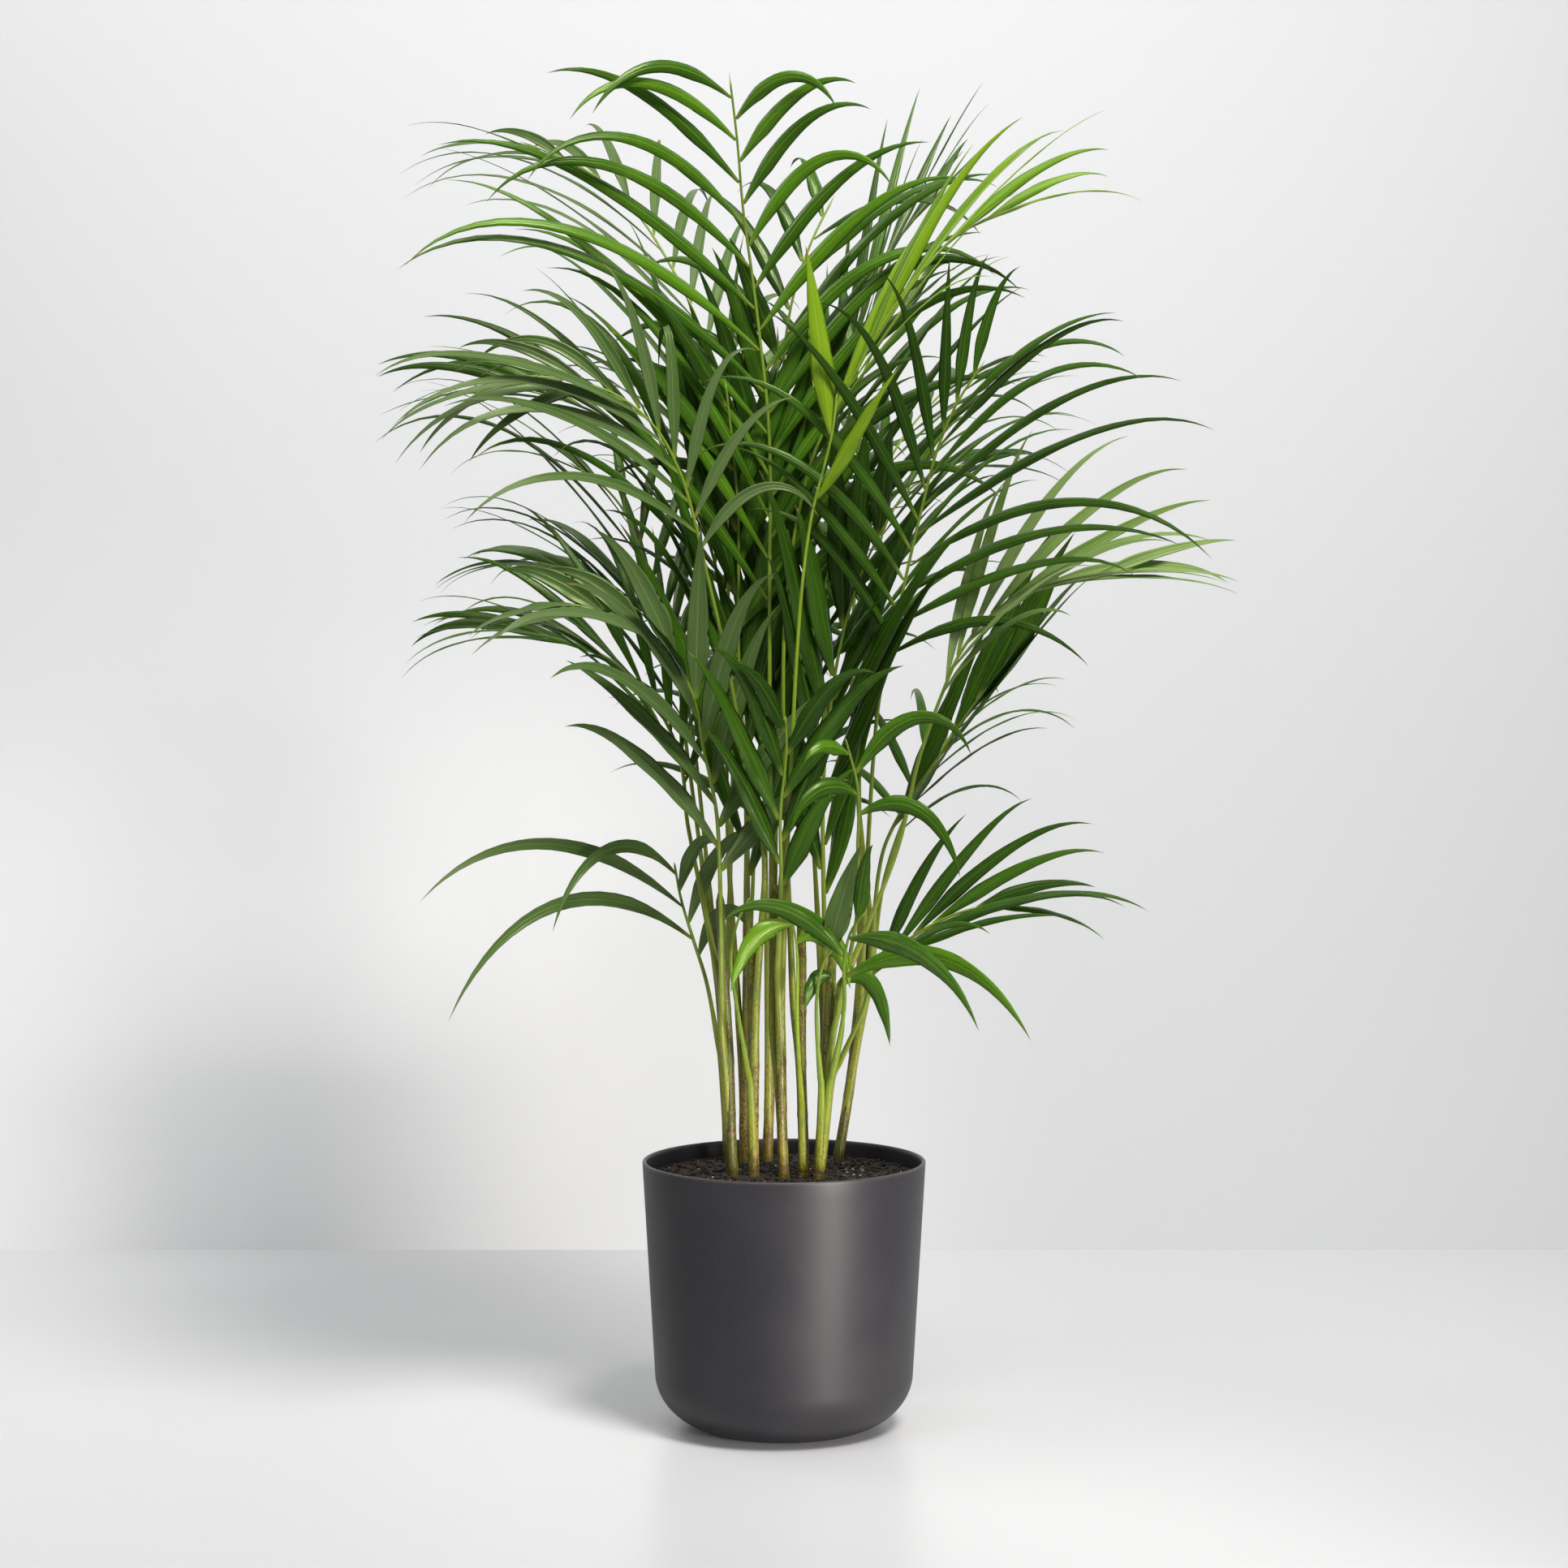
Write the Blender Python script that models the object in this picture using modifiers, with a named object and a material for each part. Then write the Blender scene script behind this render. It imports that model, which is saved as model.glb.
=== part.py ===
# Potted areca palm, modelled from the pot up: pot, soil, canes, then one solid for every frond.
# Metres, +Z up. The origin is the middle of the pot's flat underside, and -Y is the plant's front.
import math

import bmesh
import bpy
from mathutils import Quaternion, Vector
from mathutils.bvhtree import BVHTree

# Pot
potHeight = 0.208
rimRadius = 0.110
wallFootRadius = 0.1005
cornerHeight = 0.043
cornerReach = 0.052
footRadius = 0.060
potWall = 0.0032
potSteps = 32

# Soil
soilTop = 0.1955
soilCrown = 0.002
soilFloor = 0.012
fitGap = 0.0003

# Canes
caneDepth = 0.030
caneRadius = 0.0042
caneTopRadius = 0.0034
caneSides = 6

# Fronds
stalkRadius = 0.0019
stalkTipRadius = 0.0008
bareSegments = 5
bladeBase = 0.006
bladeThickness = 0.0007
bladeStations = (5, 11)
testThickness = 0.0017
testMargin = 0.0004
mostTries = 120

up = Vector((0, 0, 1))

# Each cane: its place in the soil and its top.
canes = {
    "a": ((-0.044, 0.056), (-0.051, 0.058, 0.395)),
    "b": ((-0.039, -0.030), (-0.049, -0.036, 0.420)),
    "c": ((-0.031, 0.042), (-0.029, 0.050, 0.410)),
    "d": ((-0.023, -0.028), (-0.024, -0.034, 0.385)),
    "e": ((-0.013, 0.046), (-0.008, 0.050, 0.425)),
    "f": ((0.000, -0.035), (-0.007, -0.034, 0.425)),
    "g": ((0.015, -0.028), (0.013, -0.027, 0.405)),
    "h": ((0.027, -0.040), (0.036, -0.050, 0.370)),
    "i": ((0.029, 0.012), (0.040, 0.010, 0.400)),
    "j": ((0.043, 0.060), (0.071, 0.060, 0.385)),
}


def clearScene():
    for obj in list(bpy.data.objects):
        bpy.data.objects.remove(obj, do_unlink=True)


def newCollection(name):
    group = bpy.data.collections.new(name)
    bpy.context.scene.collection.children.link(group)
    return group


def newMaterial(name, colour, roughness):
    material = bpy.data.materials.new(name)
    material.use_nodes = True
    shader = material.node_tree.nodes["Principled BSDF"]
    shader.inputs["Base Color"].default_value = (*colour, 1)
    shader.inputs["Roughness"].default_value = roughness
    shader.inputs["Metallic"].default_value = 0
    return material


def addMesh(name, bm, material, group):
    mesh = bpy.data.meshes.new(name)
    bm.to_mesh(mesh)
    bm.free()
    mesh.materials.append(material)
    obj = bpy.data.objects.new(name, mesh)
    group.objects.link(obj)
    return obj


# ---- turned pieces ----

def cornerRadius(height, inset=0.0):
    """Outer radius of the pot's wall at a height, less an inset."""
    if height >= cornerHeight:
        slope = (rimRadius - wallFootRadius) / (potHeight - cornerHeight)
        return wallFootRadius + slope * (height - cornerHeight) - inset
    drop = (cornerHeight - height) / (cornerHeight + 0.001)
    return wallFootRadius - cornerReach * (1 - math.sqrt(1 - drop * drop)) - inset


def turned(name, profile, material, group):
    bm = bmesh.new()
    points = [bm.verts.new((radius, 0, height)) for radius, height in profile]
    for first, second in zip(points, points[1:]):
        bm.edges.new((first, second))
    obj = addMesh(name, bm, material, group)
    screw = obj.modifiers.new("Turn", "SCREW")
    screw.steps = potSteps
    screw.render_steps = potSteps
    screw.use_merge_vertices = True
    screw.merge_threshold = 0.00001
    screw.use_normal_calculate = True
    obj.data.shade_smooth()
    return obj


def makePot(material, group):
    floor = soilFloor - fitGap
    lip = potWall / 2
    inside = [(0, floor)]
    for height in (floor, 0.018, 0.027, cornerHeight, potHeight - lip):
        inside.append((cornerRadius(height, potWall), height))
    outside = [(rimRadius - lip, potHeight), (rimRadius, potHeight - lip)]
    for height in (cornerHeight, 0.030, 0.017, 0.007, 0.002):
        outside.append((cornerRadius(height), height))
    outside += [(footRadius, 0), (0, 0)]
    return turned("pot", inside + outside, material, group)


def makeSoil(material, group, cutters):
    """The root ball fills the pot to just under its rim, with a hole for each cane."""
    gap = potWall + fitGap
    profile = [(0, soilTop + soilCrown), (0.05, soilTop + soilCrown / 2)]
    for height in (soilTop, cornerHeight, 0.027, 0.018, soilFloor):
        profile.append((cornerRadius(height, gap), height))
    profile.append((0, soilFloor))
    soil = turned("soil", profile, material, group)
    for name, (foot, _) in canes.items():
        bm = bmesh.new()
        reach = caneRadius + fitGap
        tall = caneDepth + 0.02
        bmesh.ops.create_cone(
            bm, cap_ends=True, segments=caneSides, radius1=reach, radius2=reach, depth=tall
        )
        middle = Vector((*foot, soilTop - caneDepth + tall / 2 - fitGap))
        bmesh.ops.translate(bm, vec=middle, verts=bm.verts)
        cutter = addMesh("hole_" + name, bm, material, cutters)
        cutter.hide_render = True
        cutter.display_type = "WIRE"
        cut = soil.modifiers.new("Hole " + name, "BOOLEAN")
        cut.operation = "DIFFERENCE"
        cut.solver = "EXACT"
        cut.object = cutter
    return soil


# ---- curves and tubes ----

def curveThrough(knots, perSpan=12):
    """Points of a smooth curve through the given ones."""
    padded = [2 * knots[0] - knots[1], *knots, 2 * knots[-1] - knots[-2]]
    dense = []
    for p, q, r, s in zip(padded, padded[1:], padded[2:], padded[3:]):
        for step in range(perSpan):
            t = step / perSpan
            cubic = (2 * q + (r - p) * t + (2 * p - 5 * q + 4 * r - s) * t * t
                     + (3 * q - p - 3 * r + s) * t ** 3)
            dense.append(cubic / 2)
    dense.append(knots[-1].copy())
    return dense


class Route:
    """A smooth curve, read by the share of its length."""

    def __init__(self, knots):
        self.points = curveThrough(knots)
        self.reach = [0.0]
        for first, second in zip(self.points, self.points[1:]):
            self.reach.append(self.reach[-1] + (second - first).length)
        self.length = self.reach[-1]

    def at(self, share):
        want = min(max(share, 0), 1) * self.length
        index = 0
        while index < len(self.reach) - 2 and self.reach[index + 1] < want:
            index += 1
        span = self.reach[index + 1] - self.reach[index]
        t = (want - self.reach[index]) / span
        return self.points[index].lerp(self.points[index + 1], t)

    def heading(self, share):
        return (self.at(share + 0.01) - self.at(share - 0.01)).normalized()


def ringAround(centre, across, above, radius, sides):
    ring = []
    for side in range(sides):
        angle = 2 * math.pi * side / sides
        ring.append(centre + radius * (math.cos(angle) * above + math.sin(angle) * across))
    return ring


def growTube(bm, rings):
    """Extrudes a prism from ring to ring and returns the vertices of every ring."""
    sides = len(rings[0])
    made = bmesh.ops.create_cone(
        bm, cap_ends=True, segments=sides, radius1=1, radius2=1, depth=1
    )["verts"]
    low = [vert for vert in made if vert.co.z < 0]
    high = [next(e.other_vert(v) for e in v.link_edges if e.other_vert(v) not in low) for v in low]
    cap = next(face for face in high[0].link_faces if all(v in high for v in face.verts))
    around = [low[0]]
    while len(around) < sides:
        near = [e.other_vert(around[-1]) for e in around[-1].link_edges]
        around.append(next(v for v in near if v in low and v not in around))
    low, high = around, [high[low.index(v)] for v in around]
    placed = [low, high]
    for step, ring in enumerate(rings):
        if step > 1:
            face = bmesh.ops.extrude_discrete_faces(bm, faces=[cap])["faces"][0]
            cap, placed_ring = face, []
            for vert in placed[-1]:
                near = [e.other_vert(vert) for e in vert.link_edges]
                placed_ring.append(next(v for v in near if v in face.verts))
            placed.append(placed_ring)
        for vert, spot in zip(placed[step], ring):
            vert.co = spot
    return placed


def faceOutwards(bm):
    """Extruding keeps all faces turned the same way, so the volume's sign tells which."""
    if bm.calc_volume(signed=True) < 0:
        bmesh.ops.reverse_faces(bm, faces=bm.faces)


def caneAxis(name, height):
    foot, top = canes[name]
    foot = Vector((*foot, soilTop + 0.005))
    share = (height - foot.z) / (top[2] - foot.z)
    return foot.lerp(Vector(top), min(max(share, 0), 1))


def makeCane(name, material, group):
    foot, top = canes[name]
    low = Vector((*foot, soilTop - caneDepth))
    spots = [low, caneAxis(name, soilTop + 0.005)]
    spots += [caneAxis(name, height) for height in (0.27, 0.33)]
    spots.append(Vector(top))
    rings = []
    for step, spot in enumerate(spots):
        thin = step / (len(spots) - 1)
        radius = caneRadius + (caneTopRadius - caneRadius) * thin
        rings.append(ringAround(spot, Vector((1, 0, 0)), Vector((0, 1, 0)), radius, caneSides))
    bm = bmesh.new()
    growTube(bm, rings)
    faceOutwards(bm)
    tree = BVHTree.FromBMesh(bm)
    addMesh("cane_" + name, bm, material, group)
    return tree


# ---- fronds ----

class Frond:
    """A stalk with its leaflets: where they start, where they point and how they hang."""

    def __init__(self, name, cane, rise, face, bare, pairs, route, blade, spread, lift, droop,
                 tone, reach=(1, 1)):
        self.name = name
        self.tone = tone
        self.bare = bare
        self.pairs = pairs
        self.bladeLength, self.bladeWidth = blade
        self.spread = spread
        self.lift = lift
        self.droop = droop
        self.reach = reach
        self.face = Vector(face).normalized()
        self.cane = cane
        self.rise = rise
        self.knots = [Vector(point) for point in route]
        self.route = None

    def settle(self, nudge):
        """Starts the stalk beside its cane, or on its top, and bends it aside by a nudge."""
        axis = caneAxis(self.cane, self.rise)
        aside = self.knots[0] + nudge - axis
        aside.z = 0
        aside.normalize()
        beside = axis + aside * (caneRadius + stalkRadius + 2 * fitGap)
        moved = [knot + nudge * (0.5 + 0.5 * step / len(self.knots))
                 for step, knot in enumerate(self.knots)]
        self.route = Route([beside, *moved])

    def frame(self, share):
        heading = self.route.heading(share)
        above = (self.face - heading * self.face.dot(heading)).normalized()
        return self.route.at(share), heading, above, heading.cross(above)

    def radius(self, share):
        return stalkRadius + (stalkTipRadius - stalkRadius) * share

    def places(self):
        """Share of the route where each leaflet's foot is, alternating right and left."""
        found = []
        for pair in range(self.pairs):
            for side in (1, -1):
                along = (pair + (0.2 if side > 0 else 0.7)) / self.pairs
                found.append((self.bare + (0.985 - self.bare) * along, along, side))
        return found

    def stalkShares(self):
        half = bladeBase / 2 / self.route.length
        shares = [self.bare * step / bareSegments for step in range(bareSegments)]
        for share, _, _ in self.places():
            shares += [share - half, share + half]
        return shares + [1]

    def stalkRings(self, margin=0):
        rings = []
        for share in self.stalkShares():
            centre, _, above, across = self.frame(share)
            rings.append(ringAround(centre, across, above, self.radius(share) + margin, 3))
        return rings



# The fronds, front and back, each by the points that its stalk passes through.
fronds = [
    Frond("crown", cane="f", rise=0.31, face=(0.1, -1, 0.25), bare=0.42, pairs=13,
          route=[(-0.01, -0.03, 0.54), (-0.01, -0.02, 0.665), (-0.01, -0.01, 0.765),
                 (-0.02, -0.01, 0.865), (-0.03, -0.02, 0.94), (-0.035, -0.035, 1),
                 (-0.04, -0.045, 1.04)],
          blade=(0.29, 0.0126), spread=(33, 42), lift=10, droop=(0.42, 1.4),
          tone="fresh", reach=(0.75, 1.1)),
    Frond("plume_left", cane="c", rise=0.3, face=(0.5, -0.8, 0.35), bare=0.5, pairs=11,
          route=[(-0.045, 0.06, 0.475), (-0.045, 0.1, 0.67), (-0.055, 0.13, 0.82),
                 (-0.085, 0.16, 0.9), (-0.12, 0.19, 0.96), (-0.165, 0.21, 1), (-0.22, 0.22, 1.025)],
          blade=(0.235, 0.0095), spread=(42, 16), lift=10, droop=(0.8, 0.9),
          tone="grey", reach=(0.75, 1.15)),
    Frond("fan_right", cane="e", rise=0.4, face=(-0.6, -0.5, 1), bare=0.56, pairs=10,
          route=[(0.01, 0.07, 0.54), (0.03, 0.09, 0.735), (0.055, 0.11, 0.85), (0.08, 0.13, 0.915),
                 (0.12, 0.15, 0.97)],
          blade=(0.225, 0.0095), spread=(14, 9), lift=12, droop=(0.1, 0.1), tone="deep"),
    Frond("spear_right", cane="g", rise=0.33, face=(-0.8, -0.7, 1), bare=0.66, pairs=7,
          route=[(0, -0.03, 0.505), (0, -0.03, 0.615), (0.005, -0.03, 0.67), (0.02, -0.04, 0.745),
                 (0.05, -0.05, 0.805), (0.085, -0.06, 0.865), (0.125, -0.065, 0.91),
                 (0.17, -0.07, 0.935)],
          blade=(0.24, 0.0105), spread=(13, 7), lift=8, droop=(0.5, 0.5), tone="lime", reach=(1, 0.9)),
    Frond("arch_right_top", cane="e", rise=0.36, face=(-0.3, -1, 0.5), bare=0.52, pairs=7,
          route=[(0.005, 0.04, 0.57), (0, 0.04, 0.73), (0, 0.03, 0.83), (0.01, 0.04, 0.89),
                 (0.025, 0.05, 0.93), (0.04, 0.06, 0.96)],
          blade=(0.22, 0.0135), spread=(46, 30), lift=12, droop=(0.95, 1),
          tone="deep", reach=(1.2, 0.8)),
    Frond("spear_middle", cane="f", rise=0.37, face=(-0.3, -1, 0.2), bare=0.76, pairs=1,
          route=[(0.01, -0.055, 0.605), (0.02, -0.06, 0.7), (0.035, -0.07, 0.76),
                 (0.04, -0.07, 0.8)],
          blade=(0.18, 0.019), spread=(5, 5), lift=7, droop=(0.1, 0.1), tone="lime", reach=(0.75, 1)),
    Frond("left_high", cane="d", rise=0.36, face=(0.25, -1, 0.6), bare=0.6, pairs=9,
          route=[(-0.015, -0.045, 0.45), (-0.03, -0.055, 0.525), (-0.045, -0.065, 0.605),
                 (-0.06, -0.075, 0.67), (-0.075, -0.085, 0.73), (-0.1, -0.095, 0.775),
                 (-0.13, -0.105, 0.795), (-0.17, -0.115, 0.805), (-0.195, -0.12, 0.805)],
          blade=(0.245, 0.01), spread=(42, 14), lift=6, droop=(1.2, 0.9),
          tone="grey", reach=(0.6, 1.05)),
    Frond("left_dark", cane="a", rise=0.31, face=(0.4, -0.6, 1), bare=0.42, pairs=12,
          route=[(-0.04, 0.03, 0.54), (-0.05, 0.02, 0.655), (-0.075, 0.01, 0.725),
                 (-0.11, 0, 0.765), (-0.155, -0.01, 0.79), (-0.21, -0.02, 0.805)],
          blade=(0.27, 0.0108), spread=(28, 9), lift=8, droop=(0.75, 0.9), tone="deep"),
    Frond("left_thin", cane="a", rise=0.36, face=(0.5, -0.6, 0.8), bare=0.55, pairs=6,
          route=[(-0.075, 0.09, 0.55), (-0.1, 0.11, 0.635), (-0.12, 0.12, 0.695),
                 (-0.14, 0.13, 0.73), (-0.175, 0.13, 0.755)],
          blade=(0.25, 0.0085), spread=(36, 14), lift=14, droop=(0.9, 0.9),
          tone="deep", reach=(0.6, 1.1)),
    Frond("right_front", cane="j", rise=0.3, face=(-0.3, -1, 0.5), bare=0.56, pairs=10,
          route=[(0.07, -0.02, 0.54), (0.085, -0.045, 0.625), (0.1, -0.06, 0.695),
                 (0.115, -0.075, 0.755), (0.13, -0.085, 0.79), (0.15, -0.09, 0.82)],
          blade=(0.255, 0.0098), spread=(50, 20), lift=10, droop=(0.85, 0.7),
          tone="deep", reach=(1.08, 0.8)),
    Frond("right_back", cane="j", rise=0.36, face=(-0.3, -0.6, 1), bare=0.5, pairs=8,
          route=[(0.06, 0.06, 0.55), (0.07, 0.09, 0.64), (0.08, 0.11, 0.7), (0.11, 0.13, 0.74),
                 (0.155, 0.15, 0.755)],
          blade=(0.22, 0.0095), spread=(36, 16), lift=12, droop=(0.8, 0.8), tone="deep"),
    Frond("right_inner", cane="i", rise=0.31, face=(-0.4, -0.9, 0.6), bare=0.35, pairs=9,
          route=[(0.02, 0.03, 0.54), (0.03, 0.03, 0.635), (0.04, 0.04, 0.735), (0.055, 0.05, 0.8),
                 (0.08, 0.07, 0.855), (0.11, 0.08, 0.885)],
          blade=(0.22, 0.0145), spread=(34, 20), lift=12, droop=(0.5, 0.7),
          tone="deep", reach=(1.1, 0.8)),
    Frond("right_pale", cane="h", rise=0.34, face=(-0.2, -0.7, 0.8), bare=0.56, pairs=9,
          route=[(0.085, -0.05, 0.45), (0.1, -0.06, 0.515), (0.12, -0.075, 0.575),
                 (0.14, -0.085, 0.615), (0.175, -0.095, 0.645), (0.22, -0.105, 0.655),
                 (0.26, -0.11, 0.665)],
          blade=(0.19, 0.0098), spread=(17, 7), lift=6, droop=(0.6, 0.5), tone="pale"),
    Frond("right_blades", cane="j", rise=0.35, face=(-0.8, -0.7, 0.6), bare=0.4, pairs=5,
          route=[(0.075, 0.03, 0.435), (0.09, 0.02, 0.475), (0.12, 0.015, 0.52),
                 (0.15, 0.01, 0.565), (0.18, 0, 0.6)],
          blade=(0.2, 0.0175), spread=(9, 6), lift=10, droop=(0.1, 0.1), tone="deep"),
    Frond("right_low_arch", cane="j", rise=0.34, face=(-0.5, -0.5, 1), bare=0.45, pairs=6,
          route=[(0.08, 0.08, 0.42), (0.105, 0.11, 0.485), (0.14, 0.13, 0.54),
                 (0.165, 0.15, 0.565)],
          blade=(0.15, 0.0085), spread=(48, 26), lift=14, droop=(0.8, 0.9), tone="deep"),
    Frond("left_grey", cane="b", rise=0.31, face=(0.4, -0.9, 0.8), bare=0.3, pairs=8,
          route=[(-0.05, -0.045, 0.465), (-0.06, -0.06, 0.525), (-0.07, -0.075, 0.575),
                 (-0.095, -0.09, 0.61), (-0.13, -0.1, 0.63), (-0.165, -0.11, 0.64)],
          blade=(0.205, 0.0185), spread=(36, 16), lift=12, droop=(0.5, 0.8),
          tone="grey", reach=(0.75, 1.05)),
    Frond("left_mid", cane="b", rise=0.35, face=(0.4, -0.6, 1), bare=0.42, pairs=10,
          route=[(-0.075, 0.01, 0.47), (-0.08, 0.01, 0.52), (-0.105, 0, 0.57), (-0.14, -0.01, 0.6),
                 (-0.185, -0.02, 0.615), (-0.22, -0.03, 0.62)],
          blade=(0.2, 0.0095), spread=(30, 12), lift=10, droop=(0.7, 0.8),
          tone="deep", reach=(0.9, 1.1)),
    Frond("left_mid_back", cane="a", rise=0.37, face=(0.4, -0.5, 1), bare=0.42, pairs=9,
          route=[(-0.075, 0.07, 0.525), (-0.085, 0.1, 0.59), (-0.11, 0.12, 0.635),
                 (-0.15, 0.14, 0.66), (-0.2, 0.16, 0.675)],
          blade=(0.22, 0.0092), spread=(34, 14), lift=12, droop=(0.8, 0.8), tone="deep"),
    Frond("left_low", cane="a", rise=0.28, face=(0.3, -1, 0.3), bare=0.5, pairs=3,
          route=[(-0.06, 0.03, 0.34), (-0.07, 0.02, 0.375), (-0.08, 0.01, 0.41), (-0.085, 0, 0.44)],
          blade=(0.31, 0.012), spread=(42, 30), lift=14, droop=(1.8, 1.7), tone="grey", reach=(0.4, 1)),
    Frond("right_low", cane="i", rise=0.27, face=(-0.2, -0.9, 0.8), bare=0.44, pairs=7,
          route=[(0.06, -0.02, 0.325), (0.07, -0.04, 0.36), (0.095, -0.055, 0.385),
                 (0.13, -0.065, 0.405), (0.17, -0.075, 0.415)],
          blade=(0.19, 0.0108), spread=(17, 7), lift=6, droop=(0.5, 0.5), tone="deep", reach=(1, 0.85)),
    Frond("front_right_low", cane="h", rise=0.27, face=(-0.2, -0.8, 0.6), bare=0.55, pairs=2,
          route=[(0.045, -0.07, 0.33), (0.045, -0.085, 0.37), (0.05, -0.1, 0.395),
                 (0.06, -0.115, 0.41)],
          blade=(0.23, 0.0165), spread=(50, 36), lift=10, droop=(1.15, 1.15),
          tone="fresh", reach=(1, 0.45)),
    Frond("front_low", cane="g", rise=0.25, face=(0, -1, 0.4), bare=0.8, pairs=1,
          route=[(0.01, -0.065, 0.32), (0.01, -0.08, 0.375), (0.005, -0.095, 0.41)],
          blade=(0.095, 0.017), spread=(60, 60), lift=6, droop=(3.4, 3.4), tone="lime", reach=(0.9, 1)),
    Frond("front_hanging", cane="i", rise=0.255, face=(0, -1, 0.5), bare=0.8, pairs=1,
          route=[(0.045, -0.035, 0.315), (0.04, -0.055, 0.345), (0.035, -0.07, 0.365)],
          blade=(0.095, 0.015), spread=(66, 66), lift=4, droop=(4.2, 4.2),
          tone="deep", reach=(1, 0.55)),
    Frond("front_curl", cane="h", rise=0.31, face=(0.1, -1, 0.5), bare=0.72, pairs=2,
          route=[(0.055, -0.075, 0.405), (0.055, -0.09, 0.455), (0.055, -0.105, 0.5),
                 (0.045, -0.115, 0.54)],
          blade=(0.135, 0.0135), spread=(64, 30), lift=8, droop=(2.3, 2.4),
          tone="fresh", reach=(1, 0.55)),
    Frond("low_grey_left", cane="d", rise=0.27, face=(-0.1, -1, 0.4), bare=0.74, pairs=1,
          route=[(-0.035, -0.06, 0.33), (-0.04, -0.075, 0.37), (-0.035, -0.085, 0.4),
                 (-0.025, -0.09, 0.42)],
          blade=(0.165, 0.027), spread=(16, 16), lift=8, droop=(0.3, 0.3), tone="grey", reach=(1, 0.8)),
    Frond("low_grey_right", cane="h", rise=0.27, face=(-0.2, -1, 0.4), bare=0.7, pairs=1,
          route=[(0.025, -0.06, 0.315), (0.025, -0.07, 0.345), (0.03, -0.08, 0.37),
                 (0.04, -0.085, 0.385)],
          blade=(0.145, 0.021), spread=(14, 14), lift=8, droop=(0.25, 0.25),
          tone="grey", reach=(1, 0.8)),
    Frond("core_left", cane="d", rise=0.31, face=(0.2, -1, 0.3), bare=0.22, pairs=8,
          route=[(-0.03, -0.01, 0.505), (-0.035, -0.01, 0.605), (-0.035, -0.01, 0.705),
                 (-0.04, -0.01, 0.765), (-0.045, -0.02, 0.81)],
          blade=(0.24, 0.021), spread=(13, 20), lift=10, droop=(0.15, 0.3), tone="deep"),
    Frond("core_middle", cane="e", rise=0.3, face=(-0.1, -1, 0.3), bare=0.25, pairs=8,
          route=[(-0.015, 0.03, 0.5), (-0.015, 0.03, 0.615), (-0.01, 0.02, 0.715),
                 (-0.005, 0.02, 0.805), (-0.005, 0.02, 0.855)],
          blade=(0.23, 0.021), spread=(12, 18), lift=10, droop=(0.1, 0.3), tone="deep"),
    Frond("core_right", cane="i", rise=0.33, face=(-0.3, -1, 0.4), bare=0.2, pairs=8,
          route=[(0.03, 0, 0.48), (0.035, -0.01, 0.555), (0.045, -0.02, 0.615),
                 (0.06, -0.03, 0.665), (0.08, -0.035, 0.705)],
          blade=(0.22, 0.022), spread=(18, 20), lift=12, droop=(0.3, 0.5), tone="deep"),
    Frond("core_low", cane="f", rise=0.36, face=(0.1, -1, 0.4), bare=0.3, pairs=4,
          route=[(0, -0.05, 0.43), (0, -0.055, 0.48), (0.005, -0.06, 0.525),
                 (0.005, -0.065, 0.555)],
          blade=(0.15, 0.019), spread=(22, 18), lift=12, droop=(0.5, 0.7), tone="deep"),
    Frond("back_left", cane="c", rise=0.38, face=(0.3, -0.3, 0.9), bare=0.38, pairs=9,
          route=[(-0.03, 0.1, 0.54), (-0.035, 0.15, 0.655), (-0.05, 0.2, 0.735), (-0.08, 0.26, 0.8),
                 (-0.115, 0.31, 0.84)],
          blade=(0.2, 0.0115), spread=(46, 26), lift=12, droop=(0.8, 0.8), tone="deep"),
    Frond("back_right", cane="j", rise=0.38, face=(-0.4, -0.3, 0.9), bare=0.38, pairs=9,
          route=[(0.055, 0.11, 0.55), (0.06, 0.16, 0.67), (0.08, 0.21, 0.745), (0.115, 0.27, 0.8),
                 (0.155, 0.32, 0.84)],
          blade=(0.2, 0.0115), spread=(46, 26), lift=12, droop=(0.8, 0.8), tone="deep"),
    Frond("back_middle", cane="e", rise=0.4, face=(0, -0.5, 0.8), bare=0.38, pairs=8,
          route=[(-0.005, 0.12, 0.54), (0, 0.19, 0.67), (0.005, 0.26, 0.755), (0.015, 0.33, 0.8)],
          blade=(0.19, 0.013), spread=(50, 28), lift=12, droop=(0.8, 0.8), tone="deep"),
    Frond("back_low", cane="c", rise=0.33, face=(0, -0.6, 0.8), bare=0.4, pairs=6,
          route=[(-0.025, 0.12, 0.42), (-0.025, 0.17, 0.505), (-0.035, 0.22, 0.57),
                 (-0.04, 0.28, 0.6)],
          blade=(0.15, 0.014), spread=(50, 28), lift=12, droop=(0.9, 0.9), tone="deep"),
]


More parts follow.
